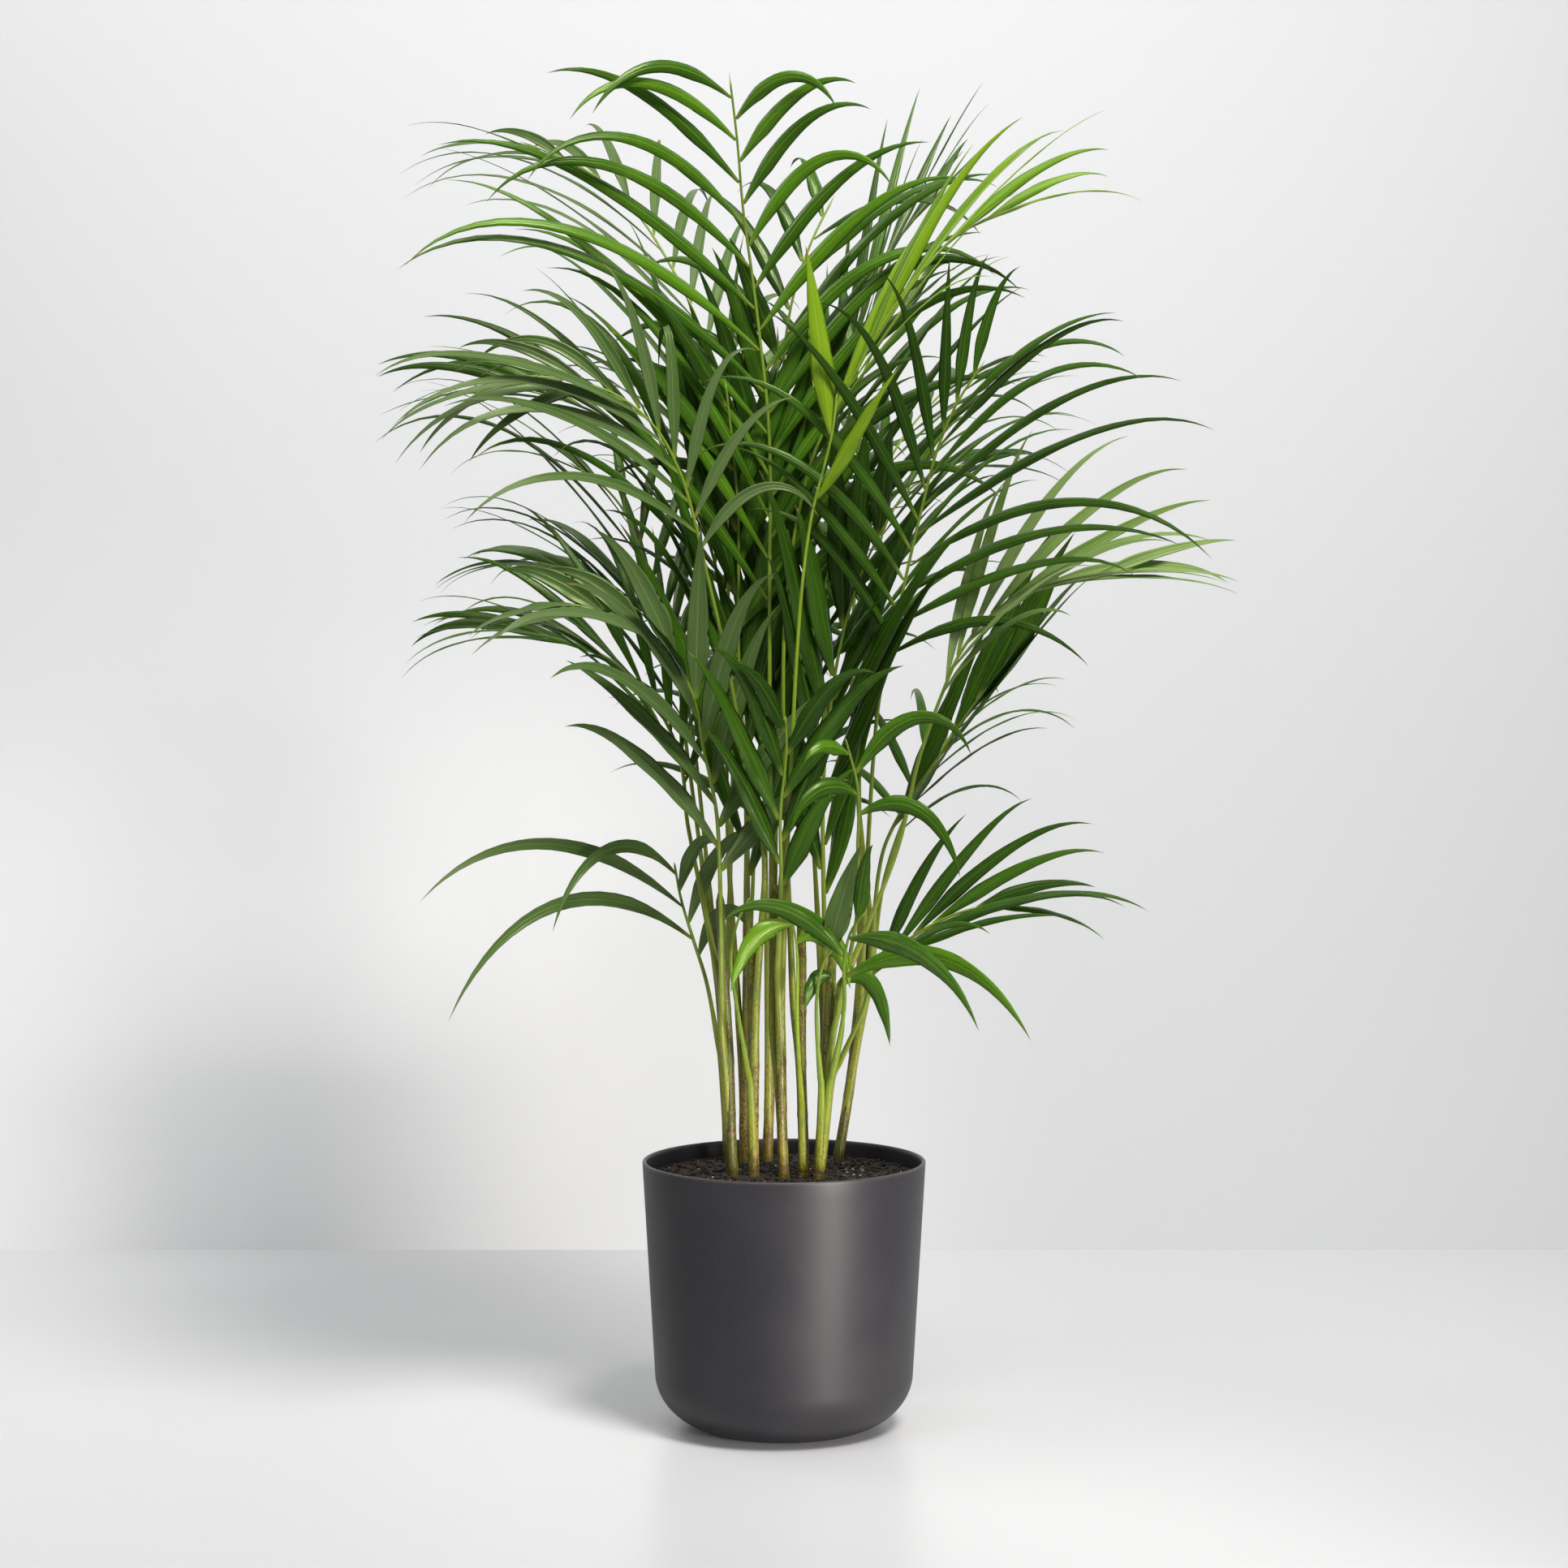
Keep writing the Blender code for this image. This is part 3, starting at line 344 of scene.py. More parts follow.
# The fronds, front and back, each by the points that its stalk passes through.
fronds = [
    Frond("crown", cane="f", rise=0.31, face=(0.1, -1, 0.25), bare=0.42, pairs=13,
          route=[(-0.01, -0.03, 0.54), (-0.01, -0.02, 0.665), (-0.01, -0.01, 0.765),
                 (-0.02, -0.01, 0.865), (-0.03, -0.02, 0.94), (-0.035, -0.035, 1),
                 (-0.04, -0.045, 1.04)],
          blade=(0.29, 0.0126), spread=(33, 42), lift=10, droop=(0.42, 1.4),
          tone="fresh", reach=(0.75, 1.1)),
    Frond("plume_left", cane="c", rise=0.3, face=(0.5, -0.8, 0.35), bare=0.5, pairs=11,
          route=[(-0.045, 0.06, 0.475), (-0.045, 0.1, 0.67), (-0.055, 0.13, 0.82),
                 (-0.085, 0.16, 0.9), (-0.12, 0.19, 0.96), (-0.165, 0.21, 1), (-0.22, 0.22, 1.025)],
          blade=(0.235, 0.0095), spread=(42, 16), lift=10, droop=(0.8, 0.9),
          tone="grey", reach=(0.75, 1.15)),
    Frond("fan_right", cane="e", rise=0.4, face=(-0.6, -0.5, 1), bare=0.56, pairs=10,
          route=[(0.01, 0.07, 0.54), (0.03, 0.09, 0.735), (0.055, 0.11, 0.85), (0.08, 0.13, 0.915),
                 (0.12, 0.15, 0.97)],
          blade=(0.225, 0.0095), spread=(14, 9), droop=(0.1, 0.1)),
    Frond("spear_right", cane="g", rise=0.33, face=(-0.8, -0.7, 1), bare=0.66, pairs=7,
          route=[(0, -0.03, 0.505), (0, -0.03, 0.615), (0.005, -0.03, 0.67), (0.02, -0.04, 0.745),
                 (0.05, -0.05, 0.805), (0.085, -0.06, 0.865), (0.125, -0.065, 0.91),
                 (0.17, -0.07, 0.935)],
          blade=(0.24, 0.0105), spread=(13, 7), lift=8, droop=(0.5, 0.5), tone="lime", reach=(1, 0.9)),
    Frond("arch_right_top", cane="e", rise=0.36, face=(-0.3, -1, 0.5), bare=0.52, pairs=7,
          route=[(0.005, 0.04, 0.57), (0, 0.04, 0.73), (0, 0.03, 0.83), (0.01, 0.04, 0.89),
                 (0.025, 0.05, 0.93), (0.04, 0.06, 0.96)],
          blade=(0.22, 0.0135), spread=(46, 30), droop=(0.95, 1),
          reach=(1.2, 0.8)),
    Frond("spear_middle", cane="f", rise=0.37, face=(-0.3, -1, 0.2), bare=0.76, pairs=1,
          route=[(0.01, -0.055, 0.605), (0.02, -0.06, 0.7), (0.035, -0.07, 0.76),
                 (0.04, -0.07, 0.8)],
          blade=(0.18, 0.019), spread=(5, 5), lift=7, droop=(0.1, 0.1), tone="lime", reach=(0.75, 1)),
    Frond("left_high", cane="d", rise=0.36, face=(0.25, -1, 0.6), bare=0.6, pairs=9,
          route=[(-0.015, -0.045, 0.45), (-0.03, -0.055, 0.525), (-0.045, -0.065, 0.605),
                 (-0.06, -0.075, 0.67), (-0.075, -0.085, 0.73), (-0.1, -0.095, 0.775),
                 (-0.13, -0.105, 0.795), (-0.17, -0.115, 0.805), (-0.195, -0.12, 0.805)],
          blade=(0.245, 0.01), spread=(42, 14), lift=6, droop=(1.2, 0.9),
          tone="grey", reach=(0.6, 1.05)),
    Frond("left_dark", cane="a", rise=0.31, face=(0.4, -0.6, 1), bare=0.42, pairs=12,
          route=[(-0.04, 0.03, 0.54), (-0.05, 0.02, 0.655), (-0.075, 0.01, 0.725),
                 (-0.11, 0, 0.765), (-0.155, -0.01, 0.79), (-0.21, -0.02, 0.805)],
          blade=(0.27, 0.0108), spread=(28, 9), lift=8, droop=(0.75, 0.9)),
    Frond("left_thin", cane="a", rise=0.36, face=(0.5, -0.6, 0.8), bare=0.55, pairs=6,
          route=[(-0.075, 0.09, 0.55), (-0.1, 0.11, 0.635), (-0.12, 0.12, 0.695),
                 (-0.14, 0.13, 0.73), (-0.175, 0.13, 0.755)],
          blade=(0.25, 0.0085), spread=(36, 14), lift=14, droop=(0.9, 0.9),
          reach=(0.6, 1.1)),
    Frond("right_front", cane="j", rise=0.3, face=(-0.3, -1, 0.5), bare=0.56, pairs=10,
          route=[(0.07, -0.02, 0.54), (0.085, -0.045, 0.625), (0.1, -0.06, 0.695),
                 (0.115, -0.075, 0.755), (0.13, -0.085, 0.79), (0.15, -0.09, 0.82)],
          blade=(0.255, 0.0098), spread=(50, 20), lift=10, droop=(0.85, 0.7),
          reach=(1.08, 0.8)),
    Frond("right_back", cane="j", rise=0.36, face=(-0.3, -0.6, 1), bare=0.5, pairs=8,
          route=[(0.06, 0.06, 0.55), (0.07, 0.09, 0.64), (0.08, 0.11, 0.7), (0.11, 0.13, 0.74),
                 (0.155, 0.15, 0.755)],
          blade=(0.22, 0.0095), spread=(36, 16), droop=(0.8, 0.8)),
    Frond("right_inner", cane="i", rise=0.31, face=(-0.4, -0.9, 0.6), bare=0.35, pairs=9,
          route=[(0.02, 0.03, 0.54), (0.03, 0.03, 0.635), (0.04, 0.04, 0.735), (0.055, 0.05, 0.8),
                 (0.08, 0.07, 0.855), (0.11, 0.08, 0.885)],
          blade=(0.22, 0.0145), spread=(34, 20), droop=(0.5, 0.7),
          reach=(1.1, 0.8)),
    Frond("right_pale", cane="h", rise=0.34, face=(-0.2, -0.7, 0.8), bare=0.56, pairs=9,
          route=[(0.085, -0.05, 0.45), (0.1, -0.06, 0.515), (0.12, -0.075, 0.575),
                 (0.14, -0.085, 0.615), (0.175, -0.095, 0.645), (0.22, -0.105, 0.655),
                 (0.26, -0.11, 0.665)],
          blade=(0.19, 0.0098), spread=(17, 7), lift=6, droop=(0.6, 0.5), tone="pale"),
    Frond("right_blades", cane="j", rise=0.35, face=(-0.8, -0.7, 0.6), bare=0.4, pairs=5,
          route=[(0.075, 0.03, 0.435), (0.09, 0.02, 0.475), (0.12, 0.015, 0.52),
                 (0.15, 0.01, 0.565), (0.18, 0, 0.6)],
          blade=(0.2, 0.0175), spread=(9, 6), lift=10, droop=(0.1, 0.1)),
    Frond("right_low_arch", cane="j", rise=0.34, face=(-0.5, -0.5, 1), bare=0.45, pairs=6,
          route=[(0.08, 0.08, 0.42), (0.105, 0.11, 0.485), (0.14, 0.13, 0.54),
                 (0.165, 0.15, 0.565)],
          blade=(0.15, 0.0085), spread=(48, 26), lift=14, droop=(0.8, 0.9)),
    Frond("left_grey", cane="b", rise=0.31, face=(0.4, -0.9, 0.8), bare=0.3, pairs=8,
          route=[(-0.05, -0.045, 0.465), (-0.06, -0.06, 0.525), (-0.07, -0.075, 0.575),
                 (-0.095, -0.09, 0.61), (-0.13, -0.1, 0.63), (-0.165, -0.11, 0.64)],
          blade=(0.205, 0.0185), spread=(36, 16), droop=(0.5, 0.8),
          tone="grey", reach=(0.75, 1.05)),
    Frond("left_mid", cane="b", rise=0.35, face=(0.4, -0.6, 1), bare=0.42, pairs=10,
          route=[(-0.075, 0.01, 0.47), (-0.08, 0.01, 0.52), (-0.105, 0, 0.57), (-0.14, -0.01, 0.6),
                 (-0.185, -0.02, 0.615), (-0.22, -0.03, 0.62)],
          blade=(0.2, 0.0095), spread=(30, 12), lift=10, droop=(0.7, 0.8),
          reach=(0.9, 1.1)),
    Frond("left_mid_back", cane="a", rise=0.37, face=(0.4, -0.5, 1), bare=0.42, pairs=9,
          route=[(-0.075, 0.07, 0.525), (-0.085, 0.1, 0.59), (-0.11, 0.12, 0.635),
                 (-0.15, 0.14, 0.66), (-0.2, 0.16, 0.675)],
          blade=(0.22, 0.0092), spread=(34, 14), droop=(0.8, 0.8)),
    Frond("left_low", cane="a", rise=0.28, face=(0.3, -1, 0.3), bare=0.5, pairs=3,
          route=[(-0.06, 0.03, 0.34), (-0.07, 0.02, 0.375), (-0.08, 0.01, 0.41), (-0.085, 0, 0.44)],
          blade=(0.31, 0.012), spread=(42, 30), lift=14, droop=(1.8, 1.7), tone="grey", reach=(0.4, 1)),
    Frond("right_low", cane="i", rise=0.27, face=(-0.2, -0.9, 0.8), bare=0.44, pairs=7,
          route=[(0.06, -0.02, 0.325), (0.07, -0.04, 0.36), (0.095, -0.055, 0.385),
                 (0.13, -0.065, 0.405), (0.17, -0.075, 0.415)],
          blade=(0.19, 0.0108), spread=(17, 7), lift=6, droop=(0.5, 0.5), reach=(1, 0.85)),
    Frond("front_right_low", cane="h", rise=0.27, face=(-0.2, -0.8, 0.6), bare=0.55, pairs=2,
          route=[(0.045, -0.07, 0.33), (0.045, -0.085, 0.37), (0.05, -0.1, 0.395),
                 (0.06, -0.115, 0.41)],
          blade=(0.23, 0.0165), spread=(50, 36), lift=10, droop=(1.15, 1.15),
          tone="fresh", reach=(1, 0.45)),
    Frond("front_low", cane="g", rise=0.25, face=(0, -1, 0.4), bare=0.8, pairs=1,
          route=[(0.01, -0.065, 0.32), (0.01, -0.08, 0.375), (0.005, -0.095, 0.41)],
          blade=(0.095, 0.017), spread=(60, 60), lift=6, droop=(3.4, 3.4), tone="lime", reach=(0.9, 1)),
    Frond("front_hanging", cane="i", rise=0.255, face=(0, -1, 0.5), bare=0.8, pairs=1,
          route=[(0.045, -0.035, 0.315), (0.04, -0.055, 0.345), (0.035, -0.07, 0.365)],
          blade=(0.095, 0.015), spread=(66, 66), lift=4, droop=(4.2, 4.2),
          reach=(1, 0.55)),
    Frond("front_curl", cane="h", rise=0.31, face=(0.1, -1, 0.5), bare=0.72, pairs=2,
          route=[(0.055, -0.075, 0.405), (0.055, -0.09, 0.455), (0.055, -0.105, 0.5),
                 (0.045, -0.115, 0.54)],
          blade=(0.135, 0.0135), spread=(64, 30), lift=8, droop=(2.3, 2.4),
          tone="fresh", reach=(1, 0.55)),
    Frond("low_grey_left", cane="d", rise=0.27, face=(-0.1, -1, 0.4), bare=0.74, pairs=1,
          route=[(-0.035, -0.06, 0.33), (-0.04, -0.075, 0.37), (-0.035, -0.085, 0.4),
                 (-0.025, -0.09, 0.42)],
          blade=(0.165, 0.027), spread=(16, 16), lift=8, droop=(0.3, 0.3), tone="grey", reach=(1, 0.8)),
    Frond("low_grey_right", cane="h", rise=0.27, face=(-0.2, -1, 0.4), bare=0.7, pairs=1,
          route=[(0.025, -0.06, 0.315), (0.025, -0.07, 0.345), (0.03, -0.08, 0.37),
                 (0.04, -0.085, 0.385)],
          blade=(0.145, 0.021), spread=(14, 14), lift=8, droop=(0.25, 0.25),
          tone="grey", reach=(1, 0.8)),
    Frond("core_left", cane="d", rise=0.31, face=(0.2, -1, 0.3), bare=0.22, pairs=8,
          route=[(-0.03, -0.01, 0.505), (-0.035, -0.01, 0.605), (-0.035, -0.01, 0.705),
                 (-0.04, -0.01, 0.765), (-0.045, -0.02, 0.81)],
          blade=(0.24, 0.021), spread=(13, 20), lift=10, droop=(0.15, 0.3)),
    Frond("core_middle", cane="e", rise=0.3, face=(-0.1, -1, 0.3), bare=0.25, pairs=8,
          route=[(-0.015, 0.03, 0.5), (-0.015, 0.03, 0.615), (-0.01, 0.02, 0.715),
                 (-0.005, 0.02, 0.805), (-0.005, 0.02, 0.855)],
          blade=(0.23, 0.021), spread=(12, 18), lift=10, droop=(0.1, 0.3)),
    Frond("core_right", cane="i", rise=0.33, face=(-0.3, -1, 0.4), bare=0.2, pairs=8,
          route=[(0.03, 0, 0.48), (0.035, -0.01, 0.555), (0.045, -0.02, 0.615),
                 (0.06, -0.03, 0.665), (0.08, -0.035, 0.705)],
          blade=(0.22, 0.022), spread=(18, 20), droop=(0.3, 0.5)),
    Frond("core_low", cane="f", rise=0.36, face=(0.1, -1, 0.4), bare=0.3, pairs=4,
          route=[(0, -0.05, 0.43), (0, -0.055, 0.48), (0.005, -0.06, 0.525),
                 (0.005, -0.065, 0.555)],
          blade=(0.15, 0.019), spread=(22, 18), droop=(0.5, 0.7)),
    Frond("back_left", cane="c", rise=0.38, face=(0.3, -0.3, 0.9), bare=0.38, pairs=9,
          route=[(-0.03, 0.1, 0.54), (-0.035, 0.15, 0.655), (-0.05, 0.2, 0.735), (-0.08, 0.26, 0.8),
                 (-0.115, 0.31, 0.84)],
          blade=(0.2, 0.0115), spread=(46, 26), droop=(0.8, 0.8)),
    Frond("back_right", cane="j", rise=0.38, face=(-0.4, -0.3, 0.9), bare=0.38, pairs=9,
          route=[(0.055, 0.11, 0.55), (0.06, 0.16, 0.67), (0.08, 0.21, 0.745), (0.115, 0.27, 0.8),
                 (0.155, 0.32, 0.84)],
          blade=(0.2, 0.0115), spread=(46, 26), droop=(0.8, 0.8)),
    Frond("back_middle", cane="e", rise=0.4, face=(0, -0.5, 0.8), bare=0.38, pairs=8,
          route=[(-0.005, 0.12, 0.54), (0, 0.19, 0.67), (0.005, 0.26, 0.755), (0.015, 0.33, 0.8)],
          blade=(0.19, 0.013), spread=(50, 28), droop=(0.8, 0.8)),
    Frond("back_low", cane="c", rise=0.33, face=(0, -0.6, 0.8), bare=0.4, pairs=6,
          route=[(-0.025, 0.12, 0.42), (-0.025, 0.17, 0.505), (-0.035, 0.22, 0.57),
                 (-0.04, 0.28, 0.6)],
          blade=(0.15, 0.014), spread=(50, 28), droop=(0.9, 0.9)),
]


class Leaflet:
    # one leaflet's run of centre points, with the way its width lies at each
    steps = 16

    def __init__(self, frond, number, turn, tilt, scale):
        share, along, side = frond.places()[number]
        foot, heading, above, across = frond.frame(share)
        self.side = side
        wobble = math.sin(12.9898 * (number + 1) + 4.1 * len(frond.name) + frond.pairs)
        open_ = math.radians(frond.spread[0] + (frond.spread[1] - frond.spread[0]) * along
                             + 5 * wobble + turn)
        lift = math.radians(frond.lift + 4 * wobble + tilt)
        outward = side * across * math.cos(lift) + above * math.sin(lift)
        aim = heading * math.cos(open_) + outward * math.sin(open_)
        # the longest leaflets grow about a third of the way along the blade
        if along < 0.35:
            fullness = 0.75 + 0.25 * along / 0.35
        else:
            fullness = 1 - 0.62 * ((along - 0.35) / 0.65) ** 1.5
        sideReach = frond.reach[0] if side > 0 else frond.reach[1]
        self.length = frond.bladeLength * fullness * scale * sideReach * (1 + 0.07 * wobble)
        self.width = frond.bladeWidth * (0.8 + 0.2 * fullness)
        droop = frond.droop[0] + (frond.droop[1] - frond.droop[0]) * along
        droop *= 1 + 0.35 * math.sin(7.3 * number + 2)
        wide = (heading - aim * heading.dot(aim)).normalized()
        wide.rotate(Quaternion(aim, math.radians(growth["widthRoll"]) * side))
        self.points = [foot + outward * frond.radius(share) * 0.5]
        self.wides = [wide]
        step = self.length / self.steps
        for index in range(self.steps):
            s = (index + 0.5) / self.steps
            way = (aim - up * droop * s ** 1.35).normalized()
            wide = (wide - way * wide.dot(way)).normalized()
            self.points.append(self.points[-1] + way * step)
            self.wides.append(wide)

    def section(self, index, width, thickness):
        centre = self.points[index]
        wide = self.wides[index]
        way = (self.points[min(index + 1, self.steps)] - self.points[index - 1]).normalized()
        thick = self.side * way.cross(wide) * thickness / 2
        wide = wide * width / 2
        return [centre - wide + thick, centre + wide + thick,
                centre + wide - thick, centre - wide - thick]

    def shape(self, index):
        s = index / self.steps
        return self.width * min(1, 0.25 + 2.6 * s) * (1 - max(0, (s - 0.45) / 0.55) ** 1.8)

    def testTree(self, foot, fromShare=0):
        # a slightly fat copy that has to stay clear of what is already there
        middle = sum(foot, Vector()) / 4
        points = [middle + (corner - middle) * 1.15 for corner in foot]
        for index in growth["bladeStations"]:
            points += self.section(index, self.shape(index) + 2 * growth["testMargin"],
                                   growth["testThickness"])
        for corner in range(4):
            points[corner] = points[corner].lerp(points[corner + 4], fromShare)
        points.append(self.points[-1])
        faces = []
        for start in (0, 4):
            for corner in range(4):
                after = (corner + 1) % 4
                faces.append((start + corner, start + after, start + 4 + after, start + 4 + corner))
        faces += [(8 + corner, 8 + (corner + 1) % 4, 12) for corner in range(4)]
        return BVHTree.FromPolygons(points, faces)


def footOf(rings, number, side):
    low = rings[growth["bareSegments"] + 2 * number]
    high = rings[growth["bareSegments"] + 2 * number + 1]
    edge = 1 if side > 0 else 2
    return [low[0], high[0], high[edge], low[edge]]


def placeLeaflet(frond, rings, number, stalk, neighbours):
    # the leaflet as designed, or the nearest turn of it that touches nothing
    for attempt in range(growth["mostTries"]):
        swing = growth["goldenTurn"] * attempt
        reach = growth["turnStep"] * math.sqrt(attempt)
        scale = 1 - 0.008 * max(0, attempt - 20)
        leaflet = Leaflet(frond, number, reach * math.cos(swing), 1.6 * reach * math.sin(swing), scale)
        foot = footOf(rings, number, leaflet.side)
        tree = leaflet.testTree(foot)
        if leaflet.testTree(foot, 0.25).overlap(stalk):
            continue
        if not any(tree.overlap(other) for other in neighbours):
            return leaflet, tree
    return None, None


def settleStalks(standing):
    trees = []
    for frond in fronds:
        for attempt in range(growth["stalkTries"]):
            swing = growth["goldenTurn"] * attempt
            reach = growth["shiftStep"] * math.sqrt(attempt)
            frond.settle(Vector((reach * math.cos(swing), 2 * reach * math.sin(swing), 0)))
            tree = tubeTree(frond.stalkRings(growth["testMargin"]))
            if not any(tree.overlap(other) for other in standing + trees):
                break
        trees.append(tree)
    return trees


def settleLeaflets():
    standing = []
    for name in canes:
        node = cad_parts["cane_" + name].data
        points = [vert.co for vert in node.vertices]
        standing.append(BVHTree.FromPolygons(points, [tuple(p.vertices) for p in node.polygons]))
    stalks = settleStalks(standing)
    blades = []
    for frond, stalk in zip(fronds, stalks):
        rings = frond.stalkRings()
        around = standing + [tree for tree in stalks if tree is not stalk] + blades
        frond.leaflets = []
        for number in range(len(frond.places())):
            leaflet, tree = placeLeaflet(frond, rings, number, stalk, around)
            if leaflet:
                around.append(tree)
                blades.append(tree)
                frond.leaflets.append(leaflet)
    print("growth settled:", len(fronds), "stalks and", len(blades), "leaflets")


# Each tone: the lit side, its darker streaks, the underside, the ribs, and whether the frond
# shows its underside to the front. The grey and pale undersides are partly the leaf's own paler
# underside and partly a painted grey-green sheen.
leafTones = {
    "fresh": {"top": (0.090, 0.245, 0.006), "dark": (0.026, 0.100, 0.003), "under": (0.13, 0.24, 0.04),
              "rib": (0.21, 0.37, 0.03), "turned": False},
    "deep": {"top": (0.048, 0.142, 0.007), "dark": (0.013, 0.052, 0.003), "under": (0.095, 0.18, 0.036),
             "rib": (0.12, 0.24, 0.02), "turned": False},
    "grey": {"top": (0.045, 0.13, 0.008), "dark": (0.020, 0.065, 0.004), "under": (0.10, 0.165, 0.055),
             "rib": (0.20, 0.30, 0.09), "turned": True},
    "pale": {"top": (0.13, 0.27, 0.016), "dark": (0.065, 0.16, 0.009), "under": (0.27, 0.40, 0.13),
             "rib": (0.29, 0.42, 0.12), "turned": True},
    "lime": {"top": (0.24, 0.42, 0.012), "dark": (0.11, 0.27, 0.008), "under": (0.28, 0.44, 0.06),
             "rib": (0.42, 0.55, 0.06), "turned": False},
}

leafLook = {
    "veins": 11,
    "veinDepth": 0.000045,
    "ribDepth": 0.00022,
    "topRoughness": 0.25,
    "underRoughness": 0.33,
    "glow": 0.24,
    "streaks": (13, 2.6),
    "cloudScale": 22.0,
    "fleckScale": 420.0,
    "sheen": (0.86, 1.0, 0.55, 1),
    "dryTip": (0.30, 0.20, 0.07),
    "foot": (0.26, 0.34, 0.04),
}


def leafFinish(name, tone, under):
    m = Finish(name)
    u, v, _ = m.bladeAxes()
    tint = m.leafTint()
    spot = m.place()
    aside = abs(u - 0.5)
    # long streaks along the blade, softer clouds over the whole frond
    streak = m.grain(m.vector(u * leafLook["streaks"][0] + tint * 40, v * leafLook["streaks"][1],
                              tint * 9), 1.0, 4.0)
    cloud = m.grain(spot, leafLook["cloudScale"], 3.0)
    fleck = m.grain(spot, leafLook["fleckScale"], 2.0)
    vein = m.wave(u * (leafLook["veins"] * 2 * math.pi))
    rib = m.smooth(aside, 0.012, 0.045, 1.0, 0.0)
    side = m.smooth(abs(aside - 0.25), 0.004, 0.022, 1.0, 0.0)
    edge = m.smooth(aside, 0.455, 0.5)
    light, dark = (tone["under"], tone["top"]) if under else (tone["top"], tone["dark"])
    mixShare = streak * 0.55 + cloud * 0.45 + (tint - 0.5) * 0.42 + (fleck - 0.5) * 0.25
    colour = m.blend(m.smooth(mixShare, 0.22 if under else 0.30, 0.80 if under else 0.72,
                              0.42 if under else 0.0, 1.0), dark, light)
    colour = m.blend(m.smooth(vein, 0.55, 1.0) * (0.36 if under else 0.20), colour, tone["rib"])
    colour = m.blend(side * (0.30 if under else 0.22), colour, tone["rib"])
    colour = m.blend(rib * (0.75 if under else 0.55), colour, tone["rib"])
    colour = m.blend(edge * 0.35, colour, tone["rib"])
    colour = m.blend(m.smooth(v, 0.0, 0.085, 0.85, 0.0), colour, leafLook["foot"])
    # a little under half of the leaflets have a dry tip
    dried = m.smooth(v + (streak - 0.5) * 0.05 + (tint - 0.5) * 0.05, 0.955, 0.985)
    colour = m.blend(dried * m.smooth(tint, 0.52, 0.60), colour, leafLook["dryTip"])
    rough = leafLook["underRoughness"] if under else leafLook["topRoughness"]
    height = (vein * leafLook["veinDepth"] + fleck * 0.00003
              + rib * (leafLook["ribDepth"] if under else -leafLook["ribDepth"] * 0.6)
              + side * leafLook["ribDepth"] * 0.35)
    normal = m.bump(height, 0.7, 1.0)
    return m.close(colour, m.smooth(streak, 0.2, 0.8, rough - 0.07, rough + 0.10), normal,
                   glow=leafLook["glow"], glowColour=tone["under"], Specular_IOR_Level=0.5,
                   Specular_Tint=leafLook["sheen"])


stalkLook = {
    "low": (0.22, 0.235, 0.020),
    "high": (0.185, 0.28, 0.020),
    "lime": (0.25, 0.37, 0.022),
    "shade": (0.065, 0.15, 0.012),
    "fleck": (0.10, 0.048, 0.012),
}


def stalkFinish(tone):
    m = Finish("stalk " + tone)
    _, v, _ = m.bladeAxes()
    x, y, z = m.axes(m.place())
    streak = m.grain(m.vector(x * 900, y * 900, z * 14), 1.0, 3.0)
    cloud = m.grain(m.place(), 60.0, 3.0)
    high = stalkLook["lime"] if tone == "lime" else stalkLook["high"]
    colour = m.blend(m.smooth(v, 0.05, 0.6), stalkLook["low"], high)
    colour = m.blend(m.smooth(streak * 0.6 + cloud * 0.4, 0.46, 0.70, 0.0, 0.75), colour,
                     stalkLook["shade"])
    specks = m.smooth(m.grain(m.vector(x * 800, y * 800, z * 380), 1.0, 2.0), 0.54, 0.61)
    colour = m.blend(specks * m.smooth(v, 0.0, 0.32, 0.8, 0.0), colour, stalkLook["fleck"])
    normal = m.bump(streak * 0.00006 + specks * 0.00004, 0.6, 1.0)
    return m.close(colour, m.smooth(cloud, 0.3, 0.7, 0.34, 0.48), normal, Specular_IOR_Level=0.45)


caneLook = {
    "young": (0.185, 0.195, 0.012),
    "old": (0.25, 0.185, 0.018),
    "green": (0.050, 0.085, 0.009),
    "fleck": (0.060, 0.024, 0.006),
    "scar": (0.14, 0.085, 0.030),
    "ringGap": 0.041,
    "radius": 0.0043,
    "topRadius": 0.0034,
    "sunk": 0.012,
    "jointGap": (0.034, 0.048),
    "sway": 0.0009,
    "around": 18,
    "along": 84,
}


